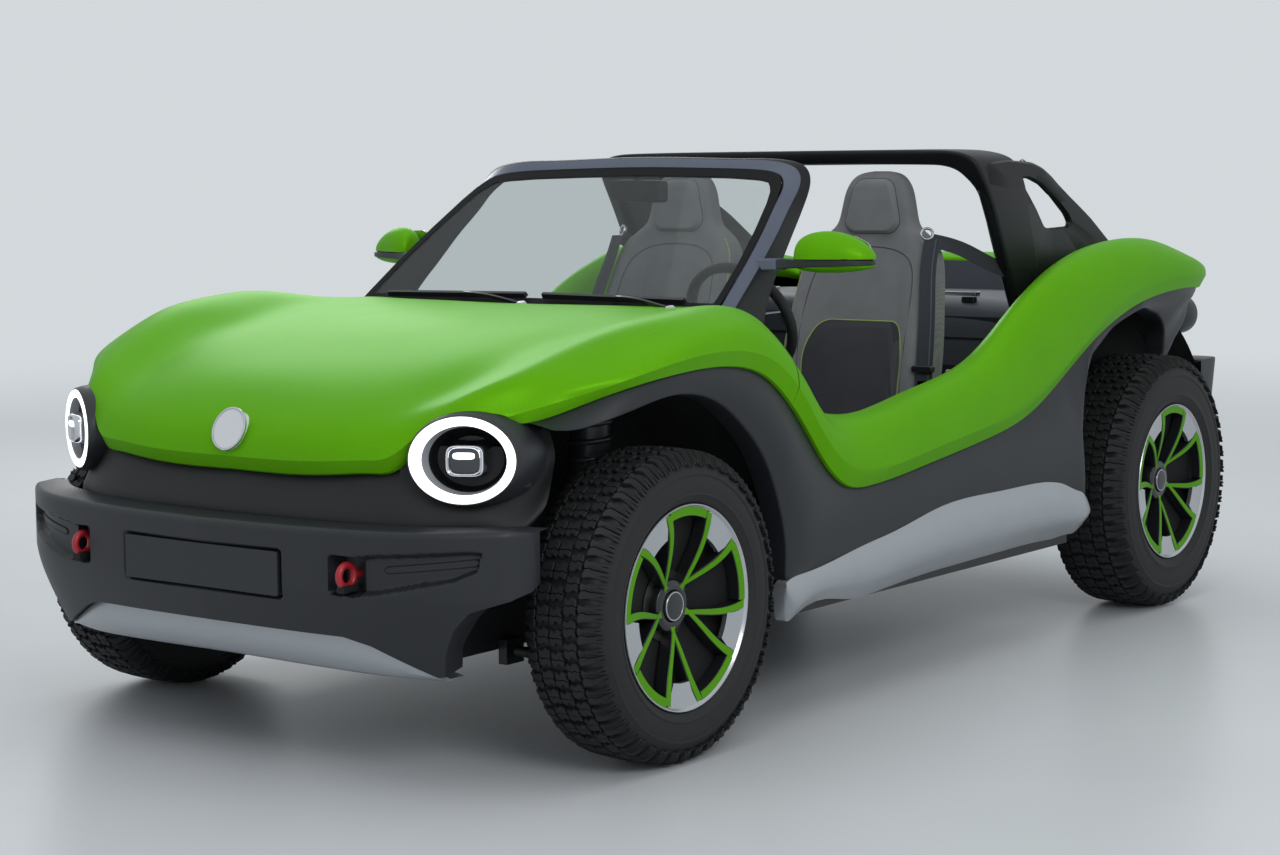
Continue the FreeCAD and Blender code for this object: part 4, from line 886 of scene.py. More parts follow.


# Near black, for black parts and for painted shade in gaps, grooves and behind the spokes.
near_black_and_shade = grained("shadow_gap_black", "#08090a", "#0b0c0d", 2.0, 0.8)
# Round each rib lies a near-black band 3 mm wider than it: painted shade of a groove.
piece("bumper_rib_grooves", both_sides(raised_bar((536, 512), (748, 537), 9.5, -4, 0.6)),
      near_black_and_shade, slot="dark_paint")
piece("bumper_ribs", both_sides(raised_bar((540, 512.5), (744, 536.5), 6.5, -4, 2.4)), dark_panel,
      slot="dark_panel")
plate = plank(-0.258, 0.258, 0.434, 0.538, 0.006, -2.024, -2.01)
bevel(piece("number_plate_blank", plate, grained("blank_plate_plastic", "#1f2226", "#24272b", 1.2,
                                                 0.45), slot="dark_panel"), 0.002)
print("ribs and plate ready")

# %% Towing eyes
def torus(centre, axis, radius, half, count=56, around=16):
    """A ring round an axis, with an oval section of half sizes (across, along the axis)."""
    angle = ring(around)
    profile = np.stack([half[1] * np.sin(angle), radius + half[0] * np.cos(angle)], 1)
    return lathe(profile, centre, axis, count, closed=True)


tow_red = grained("red_coated_forging", "#b3202c", "#a51c28", 1.5, 0.42, bump=0.08,
                  Coat_Weight=0.2)
eye = torus(TOW, (1, 0, 0), 0.0245, (0.0085, 0.009))
shank = swept([(TOW[0], TOW[1] + back, TOW[2]) for back in (0.022, 0.044, 0.066)], circle(0.011),
              up=(1, 0, 0))
piece("towing_eyes", both_sides(joined(eye, shank)), tow_red, slot="tow_red",
      replaces=["tow_hooks"], sharp=50)
foot = slab(rounded(((-0.012, -0.038), (0.012, -0.038), (0.01, -0.02), (-0.01, -0.02)), 0.003)
            + TOW[::2], TOW[1] - 0.022, TOW[1] + 0.03, "y")
bevel(piece("towing_eye_feet", both_sides(foot), near_black_and_shade, slot="dark_paint"), 0.002)
print("towing eyes ready")

# %% [markdown]
# ## Skid plates
# A pressed silver plate closes the underside in front. Its upper edge is level in the
# middle and sweeps down to a point at each end.

# %% Skid plates
# x, top y, top z, middle y, middle z, bottom y, bottom z
SKID = numbers("""
0 -1966 352 -1964 300 -1945 262  200 -1964 352 -1962 300 -1942 260
415 -1944 348 -1944 296 -1925 256  485 -1930 331 -1930 288 -1912 254
560 -1905 296 -1904 270 -1890 252  628 -1876 264 -1874 258 -1868 252""", 7)


def skid_shell():
    """A thin pressing: an outer skin, moved back 6 mm and down the inside for the wall."""
    rows = np.concatenate([SKID[:0:-1] * (-1, 1, 1, 1, 1, 1, 1), SKID])
    x, top_y, top_z, mid_y, mid_z, low_y, low_z = smooth_line(rows, 8, knots_of(rows[:, :1])).T
    line = [(top_y, top_z), (top_y * 0.4 + mid_y * 0.6 - 3, top_z * 0.45 + mid_z * 0.55),
            (mid_y, mid_z), (low_y - 2, low_z + 8), (low_y + 12, low_z),
            (low_y + 60 + 130 * (1 - (x / 628) ** 4), low_z)]
    outer = np.stack([np.stack([x, y, z], 1) for y, z in line], 1)
    inner = outer[:, ::-1] + (0, 8, 4)
    return tube(mm(np.concatenate([outer, inner], 1)))


rear_skid = mm([[(x, 1962 - pull, 528), (x, 1950 - pull, 465), (x, 1935 - pull, 405),
                 (x, 1915 - pull, 398), (x, 1745, 398), (x, 1745, 410), (x, 1905 - pull, 412),
                 (x, 1938 - pull, 528)]
                for x, pull in ((-560, 20), (-300, 5), (0, 0), (300, 5), (560, 20))])
piece("front_skid_pressing", skid_shell(), silver_trim, slot="silver_trim",
      replaces=["skid_plates"], sharp=35)
bevel(piece("rear_skid_pressing", tube(rear_skid), silver_trim, slot="silver_trim"), 0.003)
print("skid plates ready")

# %% [markdown]
# ## Headlights
# Each headlight is an oval ring of white light in a black barrel that flares back under
# the green eyebrow. Inside the ring a black bowl holds a rounded-square projector with a
# chromed rim. The whole lamp is turned outwards by 28 degrees.

# %% Headlights
LAMP_CENTRE = np.array((0.653, -1.826, 0.755))
LAMP_COS, LAMP_SIN = math.cos(math.radians(28)), math.sin(math.radians(28))
LAMP_SIDE = np.array((LAMP_COS, LAMP_SIN, 0.0))
LAMP_FRONT = np.array((LAMP_SIN, -LAMP_COS, 0.0))


def lamp_rings(rows, count=72, power=2.0, close_back=False):
    """Rings of an oval lamp from rows (depth, half width, half height, side shift) in mm:
    side + |cos| ** (2 / power) * width, up + |sin| ** (2 / power) * height. Power 2 is an
    ellipse and 4 a rounded square."""
    rows = mm(rows)
    angle = ring(count)
    c, s = np.cos(angle), np.sin(angle)
    u = np.sign(c) * np.abs(c) ** (2 / power)
    v = np.sign(s) * np.abs(s) ** (2 / power)
    across = rows[:, 1:2] * u + rows[:, 3:4]
    above = rows[:, 2:3] * v
    points = (LAMP_CENTRE + LAMP_FRONT * rows[:, :1, None] + LAMP_SIDE * across[..., None]
              + np.array((0, 0, 1.0)) * above[..., None])
    points, faces = grid(points, wrap_cols=True)
    if close_back:
        faces.append(((len(rows) - 1) * count + np.arange(count))[None])
    return points, faces


def glowing(name, colour, strength):
    """A lit diffuser: white plastic with light of its own."""
    return new_material(name, {"Base Color": linear("#f4f6f8"), "Roughness": 0.4,
                               "Emission Color": linear(colour), "Emission Strength": strength})[0]


barrel_black = grained("black_lamp_barrel", "#26282c", "#2d2f33", 1.5, 0.42)
bowl_black = grained("black_lamp_bowl", "#0c0d0f", "#111214", 2.0, 0.3)
ring_light = glowing("lit_ring_diffuser", "#ffffff", 1.6)
chrome = grained("chromed_bezel", "#c9ccd0", "#d2d4d8", 3.0, 0.12, bump=0.01, Metallic=1.0)
lens_glass = new_material("projector_lens_glass",
                          {"Base Color": linear("#2b2f33"), "Roughness": 0.06, "IOR": 1.5,
                           "Coat Weight": 1.0, "Coat Roughness": 0.03})[0]
barrel = lamp_rings(((-2, 123, 98, 0), (2, 126, 101, 0), (-3, 130, 104.5, 1.5),
                     (-20, 137, 108, 6), (-50, 146, 112, 13), (-90, 152, 114, 20),
                     (-125, 150, 112, 22)))
band = lamp_rings(((-4, 125, 100, 0), (3, 124, 99, 0), (5, 121, 96.5, 0), (3.5, 103, 82, 3),
                   (0, 99, 79, 4.5)))
bezel = lamp_rings(((0, 99.5, 79.5, 4.5), (-10, 95, 76.5, 6), (-22, 91, 74.5, 8)))
bowl = lamp_rings(((-22, 91.5, 75, 8), (-26, 88, 72, 8), (-50, 76, 62, 10), (-62, 60, 50, 10)),
                  close_back=True)
piece("headlight_barrels", both_sides(barrel), barrel_black, slot="lamp_black",
      replaces=["headlights"], recalculate=False, sharp=50)
piece("headlight_rings", both_sides(band), ring_light, sharp=60, recalculate=False)
piece("headlight_bevels", both_sides(bezel), grained("grey_diffuser_bevel", "#9da1a6", "#a8acb0",
                                                     2.0, 0.35), sharp=60, recalculate=False)
piece("headlight_bowls", both_sides(bowl), bowl_black, sharp=60, recalculate=False)
projector = lamp_rings(((-60, 50, 44, 12), (-20, 48, 41, 10), (6, 45, 37, 8), (14, 42, 34.5, 7),
                        (16, 39, 32, 7), (14, 36, 29.5, 7), (9, 34, 27.5, 7)), power=4.0)
lens = lamp_rings(((9, 34.5, 28, 7), (11.5, 26, 21, 7), (12.5, 13, 11, 7), (12.8, 1, 1, 7)),
                  power=3.4, close_back=True)
bar = lamp_rings(((8, 25, 7.5, 7), (15.2, 25, 7.5, 7), (16.2, 23.5, 6.5, 7)), power=4.0,
                 close_back=True)
bar = (bar[0] + (0, 0, 0.012), bar[1])
piece("headlight_projectors", both_sides(projector), chrome, slot="lamp_black", sharp=60,
      recalculate=False)
piece("headlight_lenses", both_sides(lens), lens_glass, slot="lamp_black", sharp=60,
      recalculate=False)
piece("headlight_light_bars", both_sides(bar), glowing("lit_light_bar", "#f4f8ff", 2.0), sharp=60,
      recalculate=False)
print("headlights ready")

# %% [markdown]
# ## Tyres
# The tyres are wide all-terrain ones: a rounded shoulder, jagged tread blocks that lock
# into each other with narrow cuts across them, and a plain sidewall. A tyre's section is
# one line that runs over the crown and round the shoulder, and the blocks are flat
# outlines laid along that line and repeated round the wheel, so they wrap the shoulder
# as moulded rubber does.

# %% Tyre section
tyre_rubber = grained("vulcanised_rubber", "#151617", "#1b1c1d", 3.0, 0.68, bump=0.25,
                      depth=0.0005)
CENTRE = {"front": (0.8275, -1.34, 0.376), "rear": (0.8125, 1.31, 0.404)}
TYRE = {"front": {"radius": 0.376, "half": 0.1125}, "rear": {"radius": 0.404, "half": 0.1275}}
BLOCK_TALL = 0.0115
SHOULDER = 0.024
PITCHES = 46


def tread_line(end, s, height):
    """A place on the tread: s runs in metres from the crown's middle outwards, first over
    the flat crown and then round a quarter circle. height stands it off the rubber."""
    flat = TYRE[end]["half"] - BLOCK_TALL - SHOULDER
    turn = np.clip((np.abs(s) - flat) / SHOULDER, 0, math.pi / 2)
    across = np.minimum(np.abs(s), flat) + SHOULDER * np.sin(turn) + height * np.sin(turn)
    crown = 0.003 * (np.minimum(np.abs(s), flat) / flat) ** 2
    radius = (TYRE[end]["radius"] - BLOCK_TALL - crown - SHOULDER * (1 - np.cos(turn))
              + height * np.cos(turn))
    return np.sign(s) * across, radius


def round_wheel(end, across, radius, angle):
    """Across, radius and angle (0 on top, growing to the rear) to a point in the frame."""
    x, y, z = CENTRE[end]
    return np.stack(np.broadcast_arrays(x + across, y + radius * np.sin(angle),
                                        z + radius * np.cos(angle)), -1)


def carcass(end):
    """The rubber under the blocks: crown and shoulder by tread_line, then a sidewall with
    two fine moulded rings down to the bead."""
    flat = TYRE[end]["half"] - BLOCK_TALL - SHOULDER
    s = np.concatenate([np.linspace(0, flat, 6), flat + SHOULDER * np.linspace(0.15, 1.57, 8)])
    across, radius = tread_line(end, s, 0.0)
    wall = TYRE[end]["half"]
    foot = radius[-1]
    bead = 0.2465
    t, swell = numbers("""0.10 -5  0.18 -3  0.20 -1.2  0.24 -1.2  0.26 -3  0.40 -0.8  0.55 0
        0.70 -1.2  0.72 0.2  0.75 0.2  0.77 -1.8  0.86 -6  0.93 -11  0.97 -14  1.0 -18""", 2).T
    swell = swell / 1000
    across = np.concatenate([across, wall + swell])
    radius = np.concatenate([radius, foot + (bead - foot) * t])
    half = np.stack([across, radius], 1)
    profile = np.concatenate([half[::-1] * (-1, 1), half[1:]])
    inside = np.array(((wall - 0.024, 0.236), (-wall + 0.024, 0.236)))
    return lathe(np.concatenate([profile, inside]), CENTRE[end], (1, 0, 0), 180, closed=True)


# Outlines of the blocks in mm, across from the crown's middle and along the tread, each
# with its shift along in pitches.
BLOCKS = [(numbers(text, 2), shift) for text, shift in (
    ("-18 -15  -7 -21  0 -11  16 -17  18 -3  5 0  -6 -3  -12 -1  -19 -4", 0.0),
    ("-18 -1  -11 1  -5 -1  5 2  18 -1  13 7  18 17  4 21  -2 12  -16 18", 0.0),
    ("23 -19  35 -23  43 -15  56 -19  54 -6  57 -1  44 2  36 -2  25 1  21 -8", 0.5),
    ("25 3  36 0  44 4  57 1  55 17  43 21  35 13  24 18  21 9", 0.5),
    ("62 -22  80 -18  122 -21  122 -13  96 -11  122 -8  119 -1  84 -2  74 1  64 -2  60 -12", 0.25),
    ("64 0  74 3  84 0  112 1  112 8  94 11  113 14  110 20  84 20  74 15  62 19  60 8", 0.25))]


def tread(end):
    """Every block as three rings: its foot in the rubber, the same outline just under the
    top, and a smaller one on top for a soft edge."""
    pitch = 2 * math.pi / PITCHES
    stretch = TYRE[end]["half"] / 0.1125
    along = TYRE[end]["radius"] * pitch / 51.4 * 1000
    turns = np.arange(PITCHES) * pitch
    jitter = 1 + 0.06 * np.sin(np.arange(PITCHES) * 2.4)
    made = []
    for outline, shift in BLOCKS:
        shape = outline / 1000
        middle = shape.mean(0)
        for side in ((1, -1) if middle[0] > 0.02 else (1,)):
            flat = shape * (side * stretch, side * along)
            centre = flat.mean(0)
            rings = []
            for height, size in ((-0.002, 1.0), (BLOCK_TALL - 0.0012, 1.0), (BLOCK_TALL, 0.93)):
                spots = centre + (flat - centre) * size
                across, radius = tread_line(end, spots[:, 0], height)
                angle = (spots[:, 1] / TYRE[end]["radius"] * jitter[:, None]
                         + turns[:, None] + (shift + (side < 0) * 0.5) * pitch)
                rings.append(round_wheel(end, across[None], radius[None], angle))
            points = np.stack(rings, 1)
            count = len(flat)
            one = [grid_faces(3, count, wrap_cols=True), 2 * count + np.arange(count)[None]]
            starts = np.arange(PITCHES)[:, None, None] * 3 * count
            faces = [(face[None] + starts).reshape(-1, face.shape[1]) for face in one]
            made.append((points.reshape(-1, 3), faces))
    return joined(*made)


for end in ("front", "rear"):
    tyre_shape = joined(carcass(end), tread(end))
    for side, shape in by_side(tyre_shape):
        tyre = piece(f"tyre_{end}_{side}_rubber", shape, tyre_rubber, f"{end}_wheel_{side}",
                     "tyre_rubber", [f"tyre_{end}_{side}"], sharp=38)
print("tyre", len(tyre.data.polygons), "faces")

# %% [markdown]
# ## Wheels
# Each cast wheel has ten slim spokes in five pairs. The faces that border a petal shaped
# window carry a green stripe, which turns along the rim to close the petal. Between two
# petals a bare turned patch bridges the spokes at the rim. All of it is drawn in polar
# form: an angle and a radius on a face that is dished towards the hub.

# %% Wheel face
rim_black = grained("black_powder_coat", "#15171a", "#1b1d20", 1.2, 0.35, bump=0.05,
                    Coat_Weight=0.3)
stripe_green = metallic_paint("green_stripe_enamel", "#5a9e18", "#62a61c", 0.4)
turned_alloy = grained("diamond_turned_alloy", "#b9bcc0", "#c4c7ca", 1.0, 0.24, bump=0.03,
                       Metallic=0.85)
RIM_FACE = 0.93
PETALS = np.radians(np.arange(5) * 72 + 3.0)


def dish(radius):
    """How far the face lies behind the rim's edge: 46 mm at the hub, easing to 6 mm."""
    t = np.clip((radius - 0.055) / 0.185, 0, 1)
    return -(0.006 + 0.04 * (1 - t) ** 1.6)


def on_face(end, radius, angle, lift=0.0):
    """A polar place on the dished face, raised by lift."""
    return round_wheel(end, RIM_FACE - CENTRE[end][0] + dish(radius) + lift, radius, angle)


def spoke_angle(radius):
    """Angle of a petal's edge from its middle: the two edges are nearly parallel, so it
    falls as 1 / radius, from 34 degrees at the hub to 17.5 at the rim."""
    return np.radians(13.0 + 1.15 / radius)


def swirl(radius):
    """A slight lean that the whole petal shares, 3.5 degrees at mid height."""
    return np.radians(3.5) * np.sin(np.pi * np.clip((radius - 0.06) / 0.18, 0, 1))


RADII = np.linspace(0.05, 0.236, 22)
STRIPE = np.interp(RADII, (0.05, 0.1, 0.18, 0.236), (0.009, 0.012, 0.0155, 0.02))


def bars(end, inner, outer, low, high):
    """Ten bars along the petal edges. inner and outer are offsets in metres from the
    edge, away from the petal's middle, at the face, and low and high their depths."""
    made = []
    for middle in PETALS:
        for sign in (-1, 1):
            edge = spoke_angle(RADII)
            a = middle + swirl(RADII) + sign * (edge + inner / RADII)
            b = middle + swirl(RADII) + sign * (edge + outer / RADII)
            rings = [on_face(end, RADII, a, low), on_face(end, RADII, a, high),
                     on_face(end, RADII, b, high), on_face(end, RADII, b, low)]
            made.append(grid(np.stack(rings, 1), wrap_cols=True, cap_rows=True, flip=sign < 0))
    return joined(*made)


def sectors(end, r_low, r_high, half_low, half_high, middles, low, high, count=15):
    """Closed plates between two radii: half angles may differ at the two radii."""
    share = np.linspace(-1, 1, count)
    made = []
    for middle in middles:
        rows = [on_face(end, np.full(count, radius), middle + half * share, lift)
                for radius, half, lift in ((r_low, half_low, high), (r_high, half_high, high),
                                           (r_high, half_high, low), (r_low, half_low, low))]
        made.append(tube(np.stack(rows, 1)))
    return joined(*made)


def spun(end, profile, count, closed=True):
    """A profile of (behind the rim's edge, radius) pairs turned about the wheel's axle."""
    rows = np.array(profile) + (RIM_FACE - CENTRE[end][0], 0)
    return lathe(rows, CENTRE[end], (1, 0, 0), count, closed)


def barrel(end):
    """Rim edge, outer lip, well and inner lip, closed as a thin wall."""
    back = -TYRE[end]["half"] + 0.012 - (RIM_FACE - CENTRE[end][0])
    return spun(end, ((-0.002, 0.2475), (0, 0.2462), (-0.0005, 0.244), (-0.006, 0.2385),
                      (-0.022, 0.233), (-0.05, 0.224), (-0.11, 0.219), (back, 0.221),
                      (back, 0.246), (back + 0.007, 0.246), (back + 0.012, 0.229),
                      (-0.022, 0.2355), (-0.012, 0.244), (-0.01, 0.2475)), 120)


def bolt(end, angle):
    """A hexagonal bolt with a socket, 50 mm from the axle."""
    x, y, z = CENTRE[end]
    profile = np.array(((-0.075, 0.013), (-0.056, 0.013), (-0.0545, 0.0115), (-0.0545, 0.008),
                        (-0.06, 0.0075), (-0.06, 0.0))) + (RIM_FACE - x, 0)
    return lathe(profile, (x, y + 0.05 * math.sin(angle), z + 0.05 * math.cos(angle)), (1, 0, 0),
                 6)


def wheel_parts(end):
    """The wheel's shapes by material, for the left side."""
    x, y, z = CENTRE[end]
    gaps, degree = PETALS + math.radians(36), math.radians(1)
    spokes = bars(end, -0.001, STRIPE + 0.003, -0.034, 0.0)
    hub = spun(end, ((-0.085, 0.055), (-0.085, 0.064), (-0.06, 0.066), (-0.049, 0.062),
                     (-0.045, 0.054), (-0.044, 0.044), (-0.046, 0.038), (-0.085, 0.036)), 72)
    # Behind the spokes a near-black disc fills the windows between them: painted shade.
    webs = spun(end, ((-0.082, 0.05), (-0.06, 0.15), (-0.046, 0.225), (-0.052, 0.226),
                      (-0.066, 0.15), (-0.088, 0.05)), 96)
    stripes = bars(end, 0.0, STRIPE, -0.003, 0.0014)
    arcs = sectors(end, 0.219, 0.2395, 18.3 * degree, 17.9 * degree, PETALS, -0.003, 0.0014)
    backs = sectors(end, 0.218, 0.24, 18.5 * degree, 18.1 * degree, PETALS, -0.03, 0.0)
    patches = sectors(end, 0.18, 0.2405, 11.6 * degree, 16.0 * degree, gaps, -0.012, 0.0006)
    edge = spun(end, ((-0.0015, 0.2474), (0.0006, 0.2462), (0.0004, 0.2438), (-0.006, 0.238),
                      (-0.0075, 0.24), (-0.003, 0.245)), 120)
    cap = spun(end, ((-0.055, 0.0365), (-0.043, 0.0365), (-0.0405, 0.0345), (-0.0395, 0.03),
                     (-0.0385, 0.015), (-0.038, 0.0)), 60, closed=False)
    cap_ring = torus((RIM_FACE - 0.0405, y, z), (1, 0, 0), 0.0335, (0.0018, 0.0012), 60, 10)
    return {"barrel": (barrel(end), rim_black), "spokes": (joined(spokes, hub, backs), rim_black),
            "webs": (webs, near_black_and_shade), "stripes": (joined(stripes, arcs), stripe_green),
            "patches": (joined(patches, edge), turned_alloy), "cap": (cap, rim_black),
            "cap_ring": (cap_ring, turned_alloy),
            "lugs": (joined(*[bolt(end, angle) for angle in PETALS + 0.02]), black_steel)}


black_steel = grained("black_phosphated_steel", "#1a1b1d", "#202124", 1.5, 0.45, Metallic=0.5)
for end in ("front", "rear"):
    for name, (shape, material) in wheel_parts(end).items():
        for side, turned_shape in by_side(shape):
            part = piece(f"wheel_{end}_{side}_{name}", turned_shape, material,
                         f"{end}_wheel_{side}", "rim_black",
                         [f"wheel_{end}_{side}"] if name == "barrel" else (), sharp=40)
            if name == "spokes":
                bevel(part, 0.0018, 2)
print("wheels ready")

# %% [markdown]
# ## Windscreen
# The screen leans far back and its frame has round top corners. The frame is one dark satin
# paint in two copies: its front face, which turns outwards down the pillars, is a lighter
# grey-blue as a painted highlight, its side nearly black as painted shade. A black border
# runs round the flat glass.

# %% Frame
# A lighter copy of the frame's dark paint, for faces that catch the light: painted highlight.
frame_highlight_paint = grained("satin_blue_grey_paint", "#5a6070", "#626878", 1.2, 0.34, bump=0.04,
                      Metallic=0.35)
frame_black = grained("black_structured_paint", "#131418", "#17181c", 1.4, 0.45,
                      Specular_IOR_Level=0.3)
# Rows run from the foot to the middle of the header.
# glass edge, outer front edge, outer rear edge, inner rear edge
FRAME = mm(numbers("""
622 -826 1006  654 -790 1000  650 -604 990  590 -640 988
620 -764 1059  648 -724 1052  640 -572 1046  584 -604 1044
606 -643 1153  629 -592 1147  622 -488 1140  566 -520 1136
584 -525 1242  606 -464 1240  606 -394 1234  552 -430 1226
558 -417 1323  583 -358 1320  594 -314 1318  536 -350 1300
539 -360 1364  572 -302 1376  588 -280 1382  522 -312 1342
509 -331 1388  546 -285 1408  560 -266 1416  496 -290 1370
456 -315 1398  492 -280 1427  500 -256 1432  466 -278 1384
350 -307 1404  358 -277 1435  360 -251 1438  350 -269 1393
172 -302 1408  172 -270 1440  172 -244 1442  172 -260 1397
0 -300 1410  0 -268 1443  0 -242 1444  0 -258 1399""", 4, 3))


def whole_frame(rows):
    """Half the frame's rows, the middle one last, and their mirror image after it."""
    return np.concatenate([rows, rows[-2::-1] * (-1, 1, 1)])


frame_rows = whole_frame(FRAME)
frame_fine = smooth_line(frame_rows, 7)
frame_rings = rounded(frame_fine, 0.012, 4)
piece("windscreen_frame_moulding", tube(frame_rings), frame_black, slot="dark_paint",
      replaces=["windscreen_frame"], sharp=40)
# A thin strip over the frame's front face in the lighter copy: painted highlight.
share = np.array((0.06, 0.12, 0.5, 0.88, 0.94))[None, :, None]
face_line = frame_fine[:, :1] * (1 - share) + frame_fine[:, 1:2] * share
out = np.cross(np.gradient(frame_fine[:, 0], axis=0), frame_fine[:, 1] - frame_fine[:, 0])
out /= -np.linalg.norm(out, axis=1, keepdims=True)
lift = np.array((-0.004, 0.0012, 0.0022, 0.0012, -0.004))[None, :, None]
face_shape = grid(face_line + out[:, None] * lift)
piece("windscreen_frame_face", face_shape, frame_highlight_paint, slot="dark_paint", recalculate=False)

# %% Glass
glass_clear = new_material("laminated_glass", {"Base Color": linear("#d2d8d8"), "Roughness": 0.0,
                                               "IOR": 1.24, "Transmission Weight": 1.0})[0]
frit_black = grained("black_glass_frit", "#050607", "#070809", 1.0, 0.55, bump=0.0,
                     Specular_IOR_Level=0.15)
EDGE = frame_rows[:11, 0]


def on_glass(x, z, lift=0.0):
    """The screen is a plane that leans back 1.33 m for each metre up. lift moves a place
    off it, along its normal."""
    y = -0.82 + (z - 1.019) * 1.33 + 0 * x
    return np.stack([x, y - lift * 0.601, z + lift * 0.799], -1)


def screen_grid(inset, lift, cols=41, rows=25):
    """Columns fan out to the frame's edge: x is a share of the edge's x at that height,
    and z runs up to the edge's z above that column."""
    share = np.linspace(-1, 1, cols)[None]
    height = np.linspace(0, 1, rows)[:, None]
    half = np.interp(1.004 + 0.384 * height, EDGE[:7, 2], EDGE[:7, 0]) + 0.003 - inset
    x = half * share
    order = np.argsort(EDGE[:, 0])
    top = np.interp(np.abs(x[-1]), EDGE[order, 0], EDGE[order, 2]) + 0.004 - inset
    z = 1.004 + inset + (top - 1.004 - inset) * height
    return on_glass(x, z, lift)


glass_front, glass_back = screen_grid(0.0, 0.0), screen_grid(0.0, -0.005)
glass = piece("windscreen_pane", joined(grid(glass_front, flip=True), grid(glass_back)),
              glass_clear, slot="glass_clear", replaces=["windscreen_glass"], recalculate=False,
              sharp=60)


def edge_of(points):
    """A grid's outer points as one ring: bottom, right, top and left."""
    return np.concatenate([points[0], points[1:, -1], points[-1, -2::-1], points[-2:0:-1, 0]])


outer_ring = edge_of(screen_grid(0.0, 0.0008))
inner_ring = edge_of(screen_grid(0.024, 0.0008))
inner_ring[:41, 2] += 0.03
inner_ring[:41] = on_glass(inner_ring[:41, 0], inner_ring[:41, 2], 0.0008)
frit = np.stack([outer_ring, inner_ring])
piece("windscreen_border", joined(grid(frit, wrap_cols=True, flip=True),
                                  grid(frit - (0, -0.0045, 0.0061), wrap_cols=True)), frit_black,
      recalculate=False)
cowl_profile = np.array(((-0.8, 0.985), (-0.862, 1.03), (-0.858, 1.04), (-0.835, 1.043),
                         (-0.745, 1.024), (-0.69, 1.01), (-0.69, 0.985)))
cowl_x = np.linspace(-0.64, 0.64, 33)
cowl = extruded(cowl_x, cowl_profile)
cowl[..., 1] += 0.06 * (cowl_x[:, None] / 0.64) ** 2
piece("cowl_panel", tube(cowl), near_black_and_shade)
print("screen ready")

# %% [markdown]
# ## Wipers and mirrors
# Two thin black wipers rest at the foot of the glass. The door mirrors are green domes on
# slim flat arms, with a thin green underside; the near-black plate in the gap between them
# is painted shade.

# %% Wipers and inside mirror
def lying(x0, x1, z0, z1, lift, count=25):
    """A line over the glass between two places."""
    x, z = np.linspace(x0, x1, count), np.linspace(z0, z1, count)
    return on_glass(x, z, lift)


BLADE = np.array(((-0.005, -0.006), (0.005, -0.006), (0.003, 0.006), (-0.003, 0.006)))
blades = [swept(lying(a, b, za, zb, 0.016), BLADE * (1.5, 1.2), up=(0, -0.59, 0.81))
          for a, b, za, zb in ((-0.52, -0.02, 1.05, 1.056), (0.04, 0.52, 1.056, 1.052))]
arms = [swept(smooth_line(mm(((a, -846, 1046), ((a + b) / 2, -822, 1066), (b, -772, 1068))), 10),
              BLADE * 0.9, up=(0, -0.59, 0.81)) for a, b in ((20, -270), (520, 270))]
pivots = [lathe(((0.0, 0.017), (0.018, 0.016), (0.024, 0.011), (0.025, 0.0)), (x, -0.846, 1.03),
                (0, -0.2, 1), 32) for x in (0.02, 0.52)]
piece("wipers", joined(*blades, *arms), rim_black, sharp=40)
piece("wiper_pivots", joined(*pivots), turned_alloy)
glass_outline = rounded(((-0.07, -0.026), (0.078, -0.032), (0.078, 0.026), (-0.078, 0.028)), 0.014)
glass_outline = glass_outline * (1.12, 1.1) + (0.01, 1.346)
bevel(piece("inside_mirror", slab(glass_outline, -0.334, -0.276, "y"), frame_black), 0.006)
stem = swept(((0.01, -0.3, 1.362), (0.005, -0.304, 1.382), (0, -0.312, 1.398)), circle(0.01),
             up=(1, 0, 0))
piece("inside_mirror_stem", stem, frame_black)

# %% Door mirrors
# x, middle y, half depth, height of the dome, depth of the underside
MIRROR = numbers("""
684 -500 12 14 2  690 -498 30 38 6  702 -492 44 58 12  728 -480 54 70 18  766 -464 58 73 20
800 -453 55 67 19  830 -446 49 55 16  856 -440 39 38 11  873 -436 25 20 6  881 -434 10 6 2""", 5)
BASE = 1.168


def mirror_dome(column, sign, base, spread=1.0):
    """Half ovals over the base line: y = middle + depth * cos(a), z = base + height *
    sin(a) ** 0.8. The rear is cut straight where the glass sits."""
    fine = smooth_line(MIRROR, 5, MIRROR[:, 0])
    angle = np.linspace(0, np.pi, 25)[None]
    y = np.minimum(fine[:, 1:2] + fine[:, 2:3] * spread * -np.cos(angle), -402)
    z = base * 1000 + sign * fine[:, column:column + 1] * np.sin(angle) ** 0.8
    x = np.broadcast_to(fine[:, :1], y.shape)
    return tube(mm(np.stack([x, y, z], 2)))


dome = mirror_dome(3, 1, BASE)
under = mirror_dome(4, -1, BASE - 0.017, 0.94)
plate_2d = rounded(mm(((700, -505), (760, -515), (830, -501), (882, -455), (880, -425),
                       (840, -398), (700, -398), (690, -440))), 0.012)
# A near-black plate set into the gap under each dome: painted shade.
gap_shade_plate = slab((plate_2d - (0.79, -0.452)) * 0.95 + (0.79, -0.452), BASE - 0.005, BASE + 0.001,
                 "z")
blade = mm([[(x, f, lo), (x, (f + b) / 2, lo - 1), (x, b, lo), (x, b, hi),
             (x, (f + b) / 2, hi + 1.5),
             (x, f, hi)] for x, f, b, lo, hi in
            ((618, -596, -548, 1141, 1168), (650, -574, -520, 1142, 1168),
             (690, -548, -450, 1145, 1167),
             (760, -524, -398, 1148, 1166), (830, -502, -398, 1150, 1165),
             (872, -470, -418, 1152, 1164), (883, -450, -430, 1153, 1162))])
arm_shape = tube(smooth_grid(blade, 5, 1))
sleeve = mm([[(x, f, lo), (x, b, lo), (x, b, hi), (x, f, hi)] for x, f, b, lo, hi in
             ((612, -602, -550, 1138, 1171), (660, -570, -508, 1139, 1170))])
